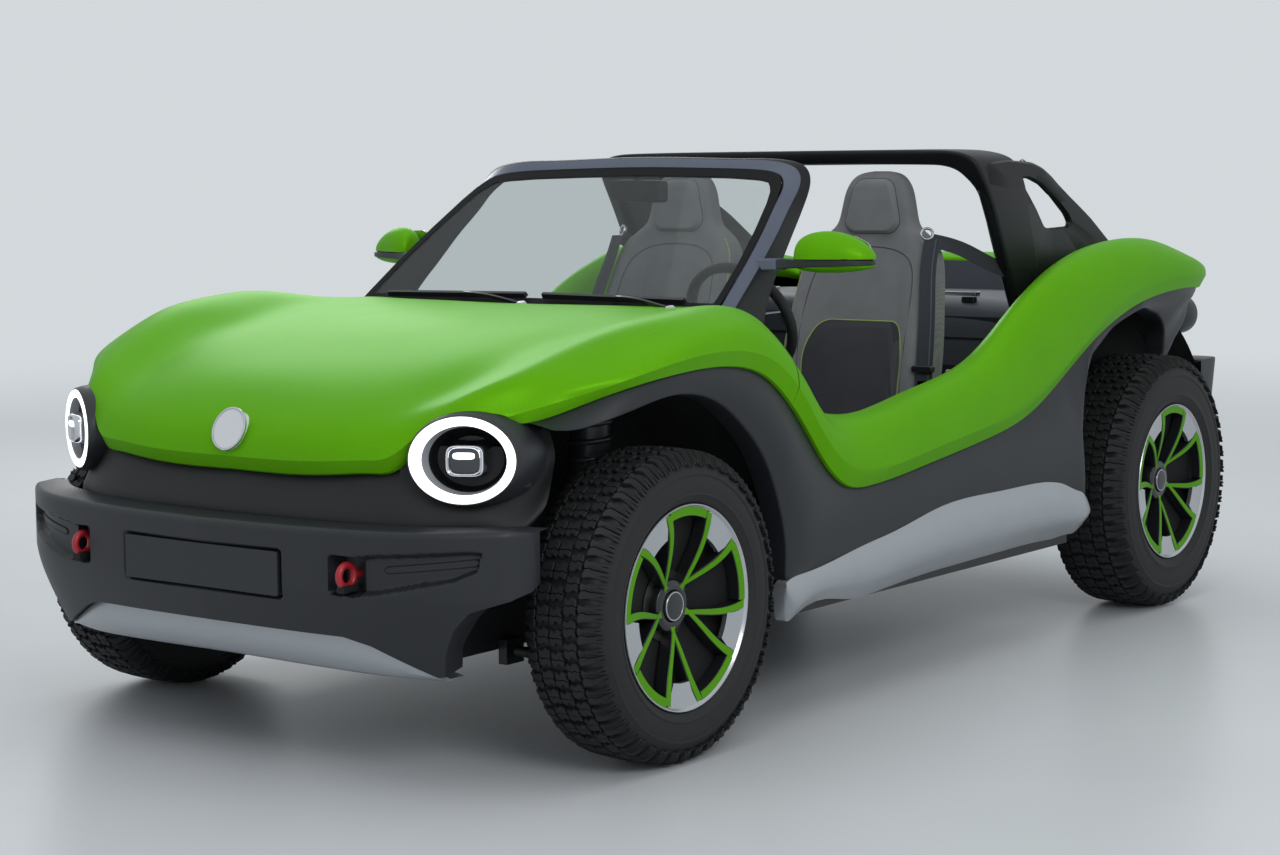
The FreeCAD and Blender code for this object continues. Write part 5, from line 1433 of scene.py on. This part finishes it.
mirror_pane = slab(rounded(((0.706, 1.176), (0.86, 1.176), (0.846, 1.208), (0.8, 1.228),
                            (0.73, 1.23), (0.704, 1.214)), 0.01), -0.4035, -0.3995, "y")
piece("mirror_domes", both_sides(dome), green_paint, slot="green_paint",
      replaces=["door_mirrors"], sharp=50)
piece("mirror_undersides", both_sides(under), green_paint, slot="green_paint", sharp=50)
piece("mirror_gaps", both_sides(gap_shade_plate), near_black_and_shade)
bevel(piece("mirror_arms", both_sides(arm_shape), dark_panel, sharp=50), 0.003)
# The sleeves take the lighter copy of the frame paint too: painted highlight.
bevel(piece("mirror_sleeves", both_sides(tube(sleeve)), frame_highlight_paint), 0.005)
piece("mirror_panes", both_sides(mirror_pane), chrome)
print("mirrors ready")

# %% [markdown]
# ## Roll hoop
# A flat, rounded beam spans the cabin behind the seats and turns down into two legs. Each
# leg widens into a buttress that slopes to the tail and has one long window.

# %% Hoop
# outer front, outer rear, inner rear, inner front, from the leg to the middle
HOOP = mm(numbers("""
716 604 1100  716 800 1100  664 800 1100  664 620 1100
716 536 1230  716 760 1230  664 760 1230  664 552 1230
715 470 1340  715 720 1340  662 720 1340  662 492 1335
708 432 1400  710 690 1400  650 690 1378  648 462 1370
690 418 1434  694 664 1434  625 664 1400  622 446 1396
648 412 1452  652 650 1452  590 650 1412  588 436 1410
560 410 1460  560 645 1462  520 645 1416  520 430 1416
300 410 1462  300 642 1464  300 642 1418  300 428 1420
0 410 1462  0 642 1464  0 642 1418  0 428 1420""", 4, 3))
hoop_rings = rounded(smooth_line(whole_frame(HOOP), 8), 0.019, 5)
piece("roll_hoop_beam", tube(hoop_rings), frame_black, slot="dark_panel", replaces=["roll_hoop"],
      sharp=60)
BUTTRESS = mm(numbers("""
560 1190  636 1050  690 955  1360 955  1400 1070  1380 1108  1273 1172  1149 1246  1006 1318
889 1383  830 1408  760 1424  600 1430  480 1420  470 1350""", 2))
WINDOW = mm(numbers("""
668 1374  732 1376  810 1357  890 1319  984 1264  1012 1236  1000 1222  870 1216  836 1226
789 1277  711 1341""", 2))


def around(outline, centre, count=160):
    """A closed outline read at even angles round a centre."""
    spots = np.asarray(outline) - centre
    step = np.linspace(0, 1, 12, endpoint=False)[None, :, None]
    fine = (spots[:, None] * (1 - step) + np.roll(spots, -1, 0)[:, None] * step).reshape(-1, 2)
    angle = np.arctan2(fine[:, 1], fine[:, 0])
    radius = np.hypot(fine[:, 0], fine[:, 1])
    order = np.argsort(angle)
    angle, radius = angle[order], radius[order]
    at = np.linspace(-np.pi, np.pi, count, endpoint=False)
    size = np.interp(at, np.concatenate([angle - 2 * np.pi, angle, angle + 2 * np.pi]),
                     np.tile(radius, 3))
    return centre + np.stack([np.cos(at), np.sin(at)], 1) * size[:, None]


def plate_with_window(outer, inner, rows):
    """A plate with a hole, as rings of (x, share from the outer line to the inner one,
    growth of the ring outwards in metres)."""
    centre = np.asarray(inner).mean(0)
    a = around(rounded(outer, 0.02), centre)
    b = around(rounded(inner, 0.01), centre)
    rings = []
    for x, share, grow in rows:
        line = a * (1 - share) + b * share
        way = line - centre
        way /= np.linalg.norm(way, axis=1, keepdims=True)
        flat = line + way * grow
        rings.append(np.column_stack([np.full(len(flat), x), flat]))
    return grid(np.array(rings), wrap_rows=True, wrap_cols=True)


buttress = plate_with_window(BUTTRESS, WINDOW, (
    (0.672, 0, -0.012), (0.68, 0, -0.002), (0.704, 0, -0.002), (0.714, 0, -0.012),
    (0.715, 0.5, 0), (0.7145, 1, 0.008), (0.71, 1, 0.001), (0.7, 1, -0.004), (0.692, 1, 0.004),
    (0.69, 0.9, 0.0), (0.676, 0.5, 0)))
for side, shape in by_side(buttress):
    piece(f"buttress_{side}", shape, frame_black, slot="dark_panel", sharp=45)
cap_axis = (0.55, 0.1, 0.83)
cap = lathe(((0, 0.019), (0.006, 0.019), (0.008, 0.017), (0.006, 0.0145), (0.002, 0.013),
             (0.002, 0)), (0.694, 0.735, 1.415), cap_axis, 40)
cap_edge = torus((0.698, 0.7357, 1.422), cap_axis, 0.0165, (0.0022, 0.0022), 40, 10)
piece("hoop_caps", both_sides(cap), frame_black)
piece("hoop_cap_rings", both_sides(cap_edge), turned_alloy)
print("hoop ready")

# %% [markdown]
# ## Seats
# Each seat is a shell covered in grey knitted fabric. Its sides stand forward of the
# middle, the shoulders draw in to a headrest with its own pad, and a dark panel fills the
# small of the back. Yellow-green piping runs round that panel and down the sides.

# %% Knitted fabrics
def knitted(name, colour, other, rib, sheen):
    """Fabric of fine crossed ribs, rib mm apart, with a slow drift of colour and a soft
    sheen. The two rib patterns are multiplied, which leaves small raised loops."""
    material, tree, shader = new_material(name, {"Roughness": 0.92, "Sheen Weight": sheen,
                                                 "Sheen Roughness": 0.5,
                                                 "Specular IOR Level": 0.25})
    place = object_place(tree)
    ribs = [add_node(tree, "TexWave", {"Vector": place, "Scale": per_mm(rib * size),
                                       "Distortion": 1.2, "Detail": 2.0, "Detail Scale": 0.6},
                     wave_type="BANDS", bands_direction=way)
            for way, size in (("X", 1.6), ("Z", 1.0))]
    loops = add_node(tree, "Math", {0: ribs[0].outputs[1], 1: ribs[1].outputs[1]},
                     operation="MULTIPLY")
    cloud = add_node(tree, "TexNoise", {"Vector": place, "Scale": per_mm(60), "Detail": 4.0})
    drift = add_node(tree, "Math", {0: loops.outputs[0], 1: 0.55, 2: cloud.outputs[0]},
                     operation="MULTIPLY_ADD")
    tint = add_node(tree, "Mix", {"Factor": drift.outputs[0], "A": linear(colour),
                                  "B": linear(other)}, data_type="RGBA")
    tree.links.new(tint.outputs["Result"], shader.inputs["Base Color"])
    relief = add_node(tree, "Bump", {"Height": loops.outputs[0], "Strength": 0.5,
                                     "Distance": 0.0006})
    tree.links.new(relief.outputs[0], shader.inputs["Normal"])
    return material


fabric_grey = knitted("grey_knitted_fabric", "#6d6e70", "#828385", 1.8, 0.25)
fabric_dark = knitted("dark_knitted_fabric", "#34353a", "#424349", 1.6, 0.2)
piping = grained("yellow_green_piping", "#8fae3a", "#9dbb46", 1.2, 0.7)
seam_dark = grained("dark_seam_thread", "#3e3f42", "#48494c", 0.8, 0.9)

# %% Seat backs and cushions
SEAT_X = 0.362
# height, half width, front, side bolster, rear, all in mm
BACK = numbers("""
548 232 286 40 386  600 240 290 66 396  680 244 296 84 408  760 247 304 90 420
887 247 322 84 438  1016 240 350 60 452  1100 233 369 38 460  1150 220 381 24 465
1190 192 390 14 470  1222 150 395 6 474  1256 129 398 0 477  1313 116 402 0 480
1352 103 408 0 480  1378 84 417 0 477  1392 58 430 0 472  1398 24 444 0 462""", 5)
# place from the front, half width, top (as a depth), side bolster, underside
SEATING = numbers("""
-176 176 -520 0 -500  -172 205 -534 2 -486  -160 226 -553 8 -470  -130 238 -572 20 -452
-60 246 -580 34 -438  60 250 -568 46 -432  150 250 -556 52 -430  240 248 -556 56 -430
300 240 -566 50 -432""", 5)


def section(rows, share):
    """Closed sections of a cushion: width = half width * sin(a) ** 0.6 and depth = middle -
    half depth * cos(a) ** 0.45, less the bolster, which grows smoothly from 0.42 to 0.95 of
    the half width. a runs once round."""
    half, front, bolster, rear = (rows[:, k:k + 1] for k in range(1, 5))
    sine, cosine = np.sin(share), np.cos(share)
    wide = np.sign(sine) * np.abs(sine) ** 0.6
    deep = np.sign(cosine) * np.abs(cosine) ** 0.45
    grow = np.clip((np.abs(wide) - 0.42) / 0.53, 0, 1)
    grow = grow * grow * (3 - 2 * grow)
    forward = np.clip(cosine, 0, 1) ** 0.3
    x = half * wide
    depth = (front + rear) / 2 - (rear - front) / 2 * deep - bolster * grow * forward
    return x, depth


def cushion(rows, axis, steps=5, around=72):
    """A crowned closed form from a table of sections along z, or along y facing up."""
    fine = smooth_line(rows, steps, np.arange(len(rows)))
    x, depth = section(fine, ring(around)[None])
    along = np.broadcast_to(fine[:, :1], x.shape)
    points = [x, depth, along] if axis == "z" else [x, along, -depth]
    return tube(mm(np.stack(points, 2)))


def back_front(x, z, lift=0.0):
    """Places on the front of the seat back at x and z in metres, lifted forwards."""
    rows = np.stack([np.interp(z * 1000, BACK[:, 0], BACK[:, k]) for k in range(5)], 1)
    part = np.clip(np.abs(x) * 1000 / rows[:, 1], 0, 0.999)
    angle = np.arcsin(part ** (1 / 0.6))
    across, depth = section(rows, angle[:, None])
    return np.stack([x, depth[:, 0] / 1000 - lift, z], -1)


def line_on_back(corners, radius, lift=0.0, steps=9):
    """A closed outline of (x, z) corners, rounded, read densely and laid on the seat."""
    flat = rounded(corners, radius, steps)
    flat = lengthwise(np.concatenate([flat, flat[:1]]), 121)[:-1]
    return back_front(flat[:, 0], flat[:, 1], lift)


def filled(outline_points, lift, rings=30):
    """A patch: rings of the outline drawn in towards its middle, laid on the seat back."""
    flat = outline_points[:, ::2]
    middle = flat.mean(0)
    share = np.linspace(1, 0.02, rings)[:, None, None]
    spots = middle + (flat - middle) * share
    height = lift * np.clip((1 - share[..., 0]) * 9, 0, 1)
    laid = back_front(spots[..., 0].ravel(), spots[..., 1].ravel()).reshape(rings, -1, 3)
    laid[..., 1] -= height + 0.002
    return tube(laid)


back_shape, seating_shape = cushion(BACK, "z"), cushion(SEATING, "y")
PANEL = np.array(((-0.14, 0.952), (0.14, 0.952), (0.176, 0.86), (0.16, 0.61), (-0.16, 0.61),
                  (-0.176, 0.86)))
PAD = np.array(((-0.066, 1.376), (0.066, 1.376), (0.098, 1.24), (0.074, 1.212), (-0.074, 1.212),
                (-0.098, 1.24)))
panel_line = line_on_back(PANEL, (0.04, 0.04, 0.05, 0.03, 0.03, 0.05))
pad_line = line_on_back(PAD, (0.04, 0.04, 0.018, 0.018, 0.018, 0.018))
yoke = smooth_line(((-0.178, 0.66), (-0.186, 0.86), (-0.18, 1.04), (-0.15, 1.13), (-0.085, 1.164),
                    (0, 1.172), (0.085, 1.164), (0.15, 1.13), (0.18, 1.04), (0.186, 0.86),
                    (0.178, 0.66)), 8)
yoke_line = back_front(yoke[:, 0], yoke[:, 1])
edge_z = np.linspace(0.62, 1.19, 60)
edge_half = np.interp(edge_z * 1000, BACK[:, 0], BACK[:, 1]) / 1000
edge_line = back_front(edge_half * 0.965, edge_z)
PIPE = circle(0.0022, 8)


def moved(shape, x):
    """A shape's copy, x to the side: p + (x, 0, 0)."""
    return shape[0] + np.array((x, 0, 0)), shape[1]


piping_shape = joined(swept(panel_line, PIPE, up=(0, 1, 0), closed=True),
                      both_sides(swept(edge_line, PIPE, up=(0, 1, 0))))
seam_shape = joined(swept(pad_line, PIPE * 0.8, up=(0, 1, 0), closed=True),
                    swept(yoke_line, PIPE * 0.7, up=(0, 1, 0)))
base_shape = plank(-0.2, 0.2, -0.06, 0.36, 0.03, 0.418, 0.436, "z")
for side, x in (("left", SEAT_X), ("right", -SEAT_X)):
    for part, shape, material, extra in (
            ("back", back_shape, fabric_grey, {"replaces": [f"seat_{side}"]}),
            ("cushion", seating_shape, fabric_grey, {}),
            ("panel", filled(panel_line, 0.006), fabric_dark, {}),
            ("headrest_pad", filled(pad_line, 0.012), fabric_grey, {}),
            ("piping", piping_shape, piping, {}), ("seams", seam_shape, seam_dark, {}),
            ("base", base_shape, near_black_and_shade, {})):
        made = piece(f"seat_{side}_{part}", moved(shape, x), material, sharp=70,
                     slot="seat_grey" if material is fabric_grey else None, **extra)
print("seats ready")

# %% [markdown]
# ## Seat belts
# A belt comes from the hoop's leg, turns down in a bright guide at the shoulder and runs
# beside the seat to its buckle. The webbing is black, with two paler stripes.

# %% Belts
webbing, tree, shader = new_material("black_belt_webbing", {"Roughness": 0.8, "Sheen Weight": 0.1})
ribs = add_node(tree, "TexWave", {"Vector": object_place(tree), "Scale": per_mm(3.0),
                                  "Distortion": 0.4}, wave_type="BANDS", bands_direction="Z")
stripe = add_node(tree, "Mix", {"Factor": ribs.outputs[1], "A": linear("#26282e"),
                                "B": linear("#363941")}, data_type="RGBA")
tree.links.new(stripe.outputs["Result"], shader.inputs["Base Color"])
relief = add_node(tree, "Bump", {"Height": ribs.outputs[1], "Strength": 0.4, "Distance": 0.0005})
tree.links.new(relief.outputs[0], shader.inputs["Normal"])
webbing_pale = grained("pale_belt_stripe", "#4b4e57", "#575a63", 1.0, 0.8)
tag_pale = grained("pale_fabric_tag", "#b9b8ac", "#c6c5b9", 1.5, 0.8)


def flat(width, depth):
    """A strip's section: a rectangle of width by depth about its middle."""
    return np.array(((-width, -depth), (width, -depth), (width, depth), (-width, depth))) / 2


belt_line = smooth_line(mm(((586, 372, 1196), (592, 340, 1120), (614, 296, 1000), (628, 262, 860),
                            (630, 252, 780), (626, 262, 700), (614, 300, 640))), 6)
loop_line = smooth_line(mm(((584, 376, 1192), (598, 430, 1182), (624, 500, 1160),
                            (664, 570, 1122), (690, 640, 1096))), 6)
strip = swept(belt_line, flat(0.05, 0.0018), up=(0.2, -1, 0))
stripes = [swept(belt_line + np.array((dx, -0.0012, 0)), flat(0.004, 0.001), up=(0.2, -1, 0))
           for dx in (-0.014, 0.014)]
upper = swept(loop_line, flat(0.046, 0.0018), up=(0.55, -0.75, 0.35))
piece("belt_webbing", both_sides(joined(strip, upper)), webbing, slot="belt_black",
      replaces=["seat_belts"], sharp=40)
piece("belt_stripes", both_sides(joined(*stripes)), webbing_pale)
guide = torus((0.566, 0.376, 1.212), (0.5, -0.8, 0.3), 0.017, (0.004, 0.006), 40, 10)
tongue = plank(0.616, 0.644, 0.74, 0.788, 0.006, 0.238, 0.2405)
buckle = plank(0.61, 0.65, 0.672, 0.746, 0.01, 0.232, 0.256)
clasp = plank(0.592, 0.662, 0.812, 0.832, 0.008, 0.24, 0.262)
tag = slab(rounded(((0.668, 0.75), (0.69, 0.75), (0.698, 0.82), (0.676, 0.82)), 0.004), 0.3,
           0.302, "y")
piece("belt_guides", both_sides(guide), chrome)
piece("belt_tongues", both_sides(tongue), chrome)
bevel(piece("belt_buckles", both_sides(joined(buckle, clasp)), rim_black), 0.004)
piece("belt_tags", both_sides(tag), tag_pale)
print("belts ready")

# %% [markdown]
# ## Cabin
# The dashboard is a dark moulded beam. The floor and side walls are a plain dark tub. Behind
# the seats lies a grey lid with a rolled front edge, a bright handle and a latch.

# %% Dashboard and steering wheel
moulded_dark = grained("dark_moulded_plastic", "#17181b", "#1c1d20", 1.1, 0.62, bump=0.12)
moulded_grey = grained("grey_moulded_plastic", "#4a4d55", "#53565e", 1.2, 0.42, bump=0.08)
suede_grey = grained("grey_suede", "#56575a", "#616265", 0.9, 0.9, bump=0.1)
dash_profile = mm(((-760, 720), (-760, 985), (-640, 990), (-560, 984), (-490, 962), (-442, 932),
                   (-412, 892), (-404, 850), (-430, 800), (-472, 768), (-540, 730), (-600, 705)))
dash_x = np.concatenate([[-0.68, -0.676], np.linspace(-0.66, 0.66, 23), [0.676, 0.68]])
dash = extruded(dash_x, dash_profile)
dash[..., 2] += (0.016 * np.exp(-((dash_x - 0.38) / 0.16) ** 2)[:, None]
                 * (dash_profile[None, :, 1] > 0.9))
dash[[0, -1], :, 1:] = dash_profile * 0.97 + dash_profile.mean(0) * 0.03
# Towards its ends the beam draws back from the door opening, to 55% of its depth.
draw = 1 - 0.45 * np.clip((np.abs(dash_x) - 0.54) / 0.12, 0, 1)
dash[..., 1] = -0.76 + (dash[..., 1] + 0.76) * draw[:, None]
piece("dashboard_moulding", tube(rounded(dash, 0.008, 3)), moulded_dark, slot="interior_dark",
      replaces=["dashboard"], sharp=45)
insert = plank(-0.62, 0.16, 0.8, 0.874, 0.02, -0.418, -0.399)
piece("dashboard_insert", insert, moulded_grey)
screen = plank(0.29, 0.47, 0.93, 1.02, 0.014, -0.52, -0.5)
piece("driver_display", screen, frit_black)

WHEEL_AT = np.array((0.38, -0.325, 0.985))
tilt = math.radians(25)
wheel_axis = np.array((0, math.cos(tilt), math.sin(tilt)))
wheel_up = np.array((0, -math.sin(tilt), math.cos(tilt)))


def on_wheel(along, across, up):
    """Places on the steering wheel: offsets beside, up its face and along its axis."""
    return (WHEEL_AT + np.multiply.outer(np.asarray(across), (1, 0, 0))
            + np.multiply.outer(np.asarray(up), wheel_up)
            + np.multiply.outer(np.asarray(along), wheel_axis))


turn = ring(96)
rim_line = on_wheel(np.zeros(96), 0.165 * np.cos(turn), np.clip(0.165 * np.sin(turn), -0.14, 1))
rim = swept(rim_line, circle(0.0145, 20) * (1, 1.1), up=wheel_axis, closed=True)
facing = swept(on_wheel(np.full(96, 0.01), 0.158 * np.cos(turn),
                        np.clip(0.158 * np.sin(turn), -0.134, 1)), circle(0.0085, 14),
               up=wheel_axis, closed=True)
piece("steering_rim", rim, moulded_dark, body="steering_wheel", slot="wheel_grip",
      replaces=["steering_wheel"])
piece("steering_rim_facing", facing, suede_grey, body="steering_wheel")
hub = lathe(((-0.018, 0.04), (-0.01, 0.05), (0.004, 0.053), (0.014, 0.05), (0.02, 0.04),
             (0.022, 0.0)), WHEEL_AT - wheel_axis * 0.01, wheel_axis, 56)
spokes = [swept(on_wheel(np.linspace(-0.006, 0.0, 7), np.linspace(0.04, 0.158, 7) * math.cos(a),
                         np.linspace(0.04, 0.15, 7) * math.sin(a)), flat(0.034, 0.012),
                up=wheel_axis) for a in (0.12, math.pi - 0.12, -math.pi / 2)]
piece("steering_hub", joined(hub, *spokes), moulded_grey, body="steering_wheel", sharp=40)
column = swept((WHEEL_AT - wheel_axis * 0.02, WHEEL_AT - wheel_axis * 0.09,
                WHEEL_AT - wheel_axis * 0.15), circle(0.036, 28), up=(1, 0, 0))
piece("steering_column_cowl", column, moulded_dark)
print("dashboard and wheel ready")

# %% Rear lid
LID = mm(numbers("""
690 640  690 860  692 900  700 948  722 984  764 1003  840 1007  1000 1006  1300 1000  1560 990
1738 985""", 2))
lid_line = smooth_line(LID, 5)
lid_x = np.linspace(-0.655, 0.655, 25)
lid = np.empty((len(lid_line), 25, 3))
lid[..., 0] = lid_x[None]
lid[..., 1:] = lid_line[:, None]
lid[..., 2] -= 0.02 * np.abs(lid_x[None] / 0.655) ** 6
lid_back = lid - (0, -0.008, 0.01)
piece("rear_lid", grid(np.concatenate([lid, lid_back[::-1]]), wrap_rows=True), moulded_grey,
      slot="interior_dark", sharp=60)
handle = [plank(x - 0.075, x + 0.075, 0.868, 0.9, 0.006, 1.004, 1.018, "z")
          for x in (-0.38, 0.38)]
bevel(piece("lid_handles", joined(*handle), chrome), 0.003)
latch = [plank(x - 0.024, x + 0.024, 0.735, 0.758, 0.008, 0.99, 1.01, "z") for x in (-0.5, 0.5)]
bevel(piece("lid_latches", joined(*latch), rim_black), 0.004)
# A near-black strip along the lid's front edge: painted shade in the shut line.
seam = swept(np.array(((-0.655, 0.6885, 0.884), (0, 0.6885, 0.884), (0.655, 0.6885, 0.884))),
             flat(0.004, 0.006), up=(0, 1, 0))
piece("lid_gap", seam, near_black_and_shade)
print("rear lid ready")

# %% [markdown]
# ## Tail
# A green lip joins the two rails across the tail. Under each rail end hangs a round dark
# lamp, and the rear bumper is a deep dark moulding with a pale top edge.

# %% Tail lip
LIP = mm(numbers("""
1560 1010  1562 1042  1600 1054  1700 1058  1775 1050  1825 1030  1860 1000  1877 960  1873 900
1868 886  1846 886  1845 955  1800 1004  1700 1008""", 2))
lip_x = np.linspace(-0.668, 0.668, 41)
tail_lip = extruded(lip_x, LIP)
tail_lip[..., 2] += (0.056 * (1 - (lip_x / 0.668) ** 4))[:, None] * (LIP[None, :, 1] > 0.99)
tail_lip[..., 1] += (0.012 * (1 - (lip_x / 0.668) ** 2))[:, None]
piece("tail_lip", tube(rounded(tail_lip, 0.009, 4)), green_paint, slot="green_paint",
      replaces=["rear_deck"], sharp=50)
ledge_x = np.linspace(-0.652, 0.652, 41)
ledge = extruded(ledge_x, ((1.54, 0.985), (1.566, 0.985), (1.566, 1.03), (1.546, 1.032)))
ledge[:, 2:, 2] += (0.056 * (1 - (ledge_x / 0.668) ** 4))[:, None]
piece("tail_ledge", tube(ledge), moulded_grey)

# %% Tail lamps
lens_red = grained("red_tail_lens", "#5a0c0e", "#6b1012", 2.0, 0.12, bump=0.02, Coat_Weight=0.6)
lamp_at = (0.688, 1.748, 0.907)
shell = lathe(((0.0, 0.052), (0.02, 0.062), (0.08, 0.066), (0.118, 0.066), (0.126, 0.062),
               (0.128, 0.054), (0.122, 0.05), (0.118, 0.0)), lamp_at, (0, 1, 0), 64)
lens = lathe(((0.119, 0.0495), (0.126, 0.046), (0.129, 0.03), (0.13, 0.0)), lamp_at, (0, 1, 0), 64)
halo = torus((0.688, 1.877, 0.907), (0, 1, 0), 0.044, (0.004, 0.003), 64, 10)
piece("tail_lamp_shells", both_sides(shell), dark_panel, slot="lamp_black",
      replaces=["tail_lights"], sharp=35)
piece("tail_lamp_lenses", both_sides(lens), lens_red)
piece("tail_lamp_rings", both_sides(halo), ring_light)

# %% Rear bumper
BUMPER_REAR = mm(numbers("""
842 1790 1706 764 650  836 1838 1716 766 628  800 1884 1752 765 604  740 1928 1782 762 582
640 1980 1780 756 560  400 2016 1780 750 545  0 2026 1780 748 540""", 5))
half_bumper = np.stack([BUMPER_REAR[:, (0, a, b)] for a, b in ((2, 3), (1, 3), (1, 4), (2, 4))], 1)
half_bumper[:, 2, 1] -= 0.035
half_bumper[:, 1, 1] -= 0.006
rear_rings = rounded(smooth_line(whole_frame(half_bumper), 6), 0.01, 4)
piece("rear_bumper_moulding", tube(rear_rings), dark_panel, slot="dark_panel",
      replaces=["rear_bumper"], sharp=40)
plate_place = plank(-0.26, 0.26, 0.595, 0.705, 0.008, 2.008, 2.0265)
bevel(piece("rear_plate", plate_place, near_black_and_shade), 0.002)
tow = torus((0.45, 1.985, 0.6), (1, 0, 0.1), 0.026, (0.009, 0.009), 48, 14)
piece("rear_tow_eyes", both_sides(tow), tow_red)
print("tail ready")

# %% [markdown]
# ## Badge and brakes
# The badge on the nose is left as a plain pale disc. The brakes are drilled iron discs.

# %% Badge and brake discs
badge_white = grained("white_enamel", "#dfe1e4", "#e6e8ea", 2.0, 0.3, bump=0.02, Coat_Weight=0.5)
badge_axis = (0, -0.93, 0.36)
badge_at = (0, -1.914, 0.797)
piece("nose_badge", lathe(((-0.022, 0.05), (0.004, 0.05), (0.006, 0.048), (0.0065, 0.0)),
                          badge_at, badge_axis, 64), badge_white)
piece("nose_badge_ring", torus(badge_at + np.array(badge_axis) * 0.004, badge_axis, 0.0515,
                               (0.003, 0.004), 64, 10), chrome)
iron = grained("turned_brake_iron", "#565555", "#605e5c", 2.5, 0.38, bump=0.1, Metallic=0.9)

# %% [markdown]
# ## Running gear
# What lies under the body keeps its built shape and gets real finishes: cast aluminium for
# the carriers and drive unit, coated steel for the arms, painted steel for the springs.

# %% Finishes for the running gear
cast_alloy = grained("cast_aluminium", "#63676c", "#72767b", 3.0, 0.45, bump=0.25, depth=0.0008,
                     Metallic=0.8)
coated_steel = grained("black_coated_steel", "#191a1c", "#212224", 2.0, 0.5, bump=0.15)
spring_paint = grained("dark_spring_paint", "#202226", "#2a2c30", 1.5, 0.35, bump=0.08)


def coil(foot, head, low, high, radius, wire, turns):
    """A coil spring round the line from foot to head, between two shares of its length."""
    foot, head = np.array(foot), np.array(head)
    t = np.linspace(0, 1, turns * 24 + 1)[:, None]
    along = (head - foot) / np.linalg.norm(head - foot)
    beside = np.cross(along, (0, 1.0, 0))
    beside /= np.linalg.norm(beside)
    across = np.cross(along, beside)
    angle = 2 * np.pi * turns * t
    line = (foot + (head - foot) * (low + (high - low) * t)
            + radius * (beside * np.cos(angle) + across * np.sin(angle)))
    return swept(line, circle(wire, 12), up=along)


front_coil = coil((0.6, -1.34, 0.255), (0.645, -1.34, 0.86), 0.46, 0.95, 0.052, 0.007, 7)
piece("front_coil_springs", both_sides(front_coil), spring_paint, slot="spring_steel", sharp=60)
FINISHES = {"chassis_alloy": cast_alloy, "chassis_steel": coated_steel,
            "spring_steel": spring_paint, "disc_iron": iron, "interior_dark": moulded_dark,
            "silver_trim": silver_trim, "lamp_black": rim_black, "dark_panel": dark_panel,
            "green_paint": green_paint}
for node in [o for o in bpy.data.objects if o.type == "MESH" and o.users_collection]:
    for place in node.material_slots:
        name = place.material.name.split(".")[0] if place.material else ""
        if name in FINISHES:
            place.material = FINISHES[name]
print("finishes set")
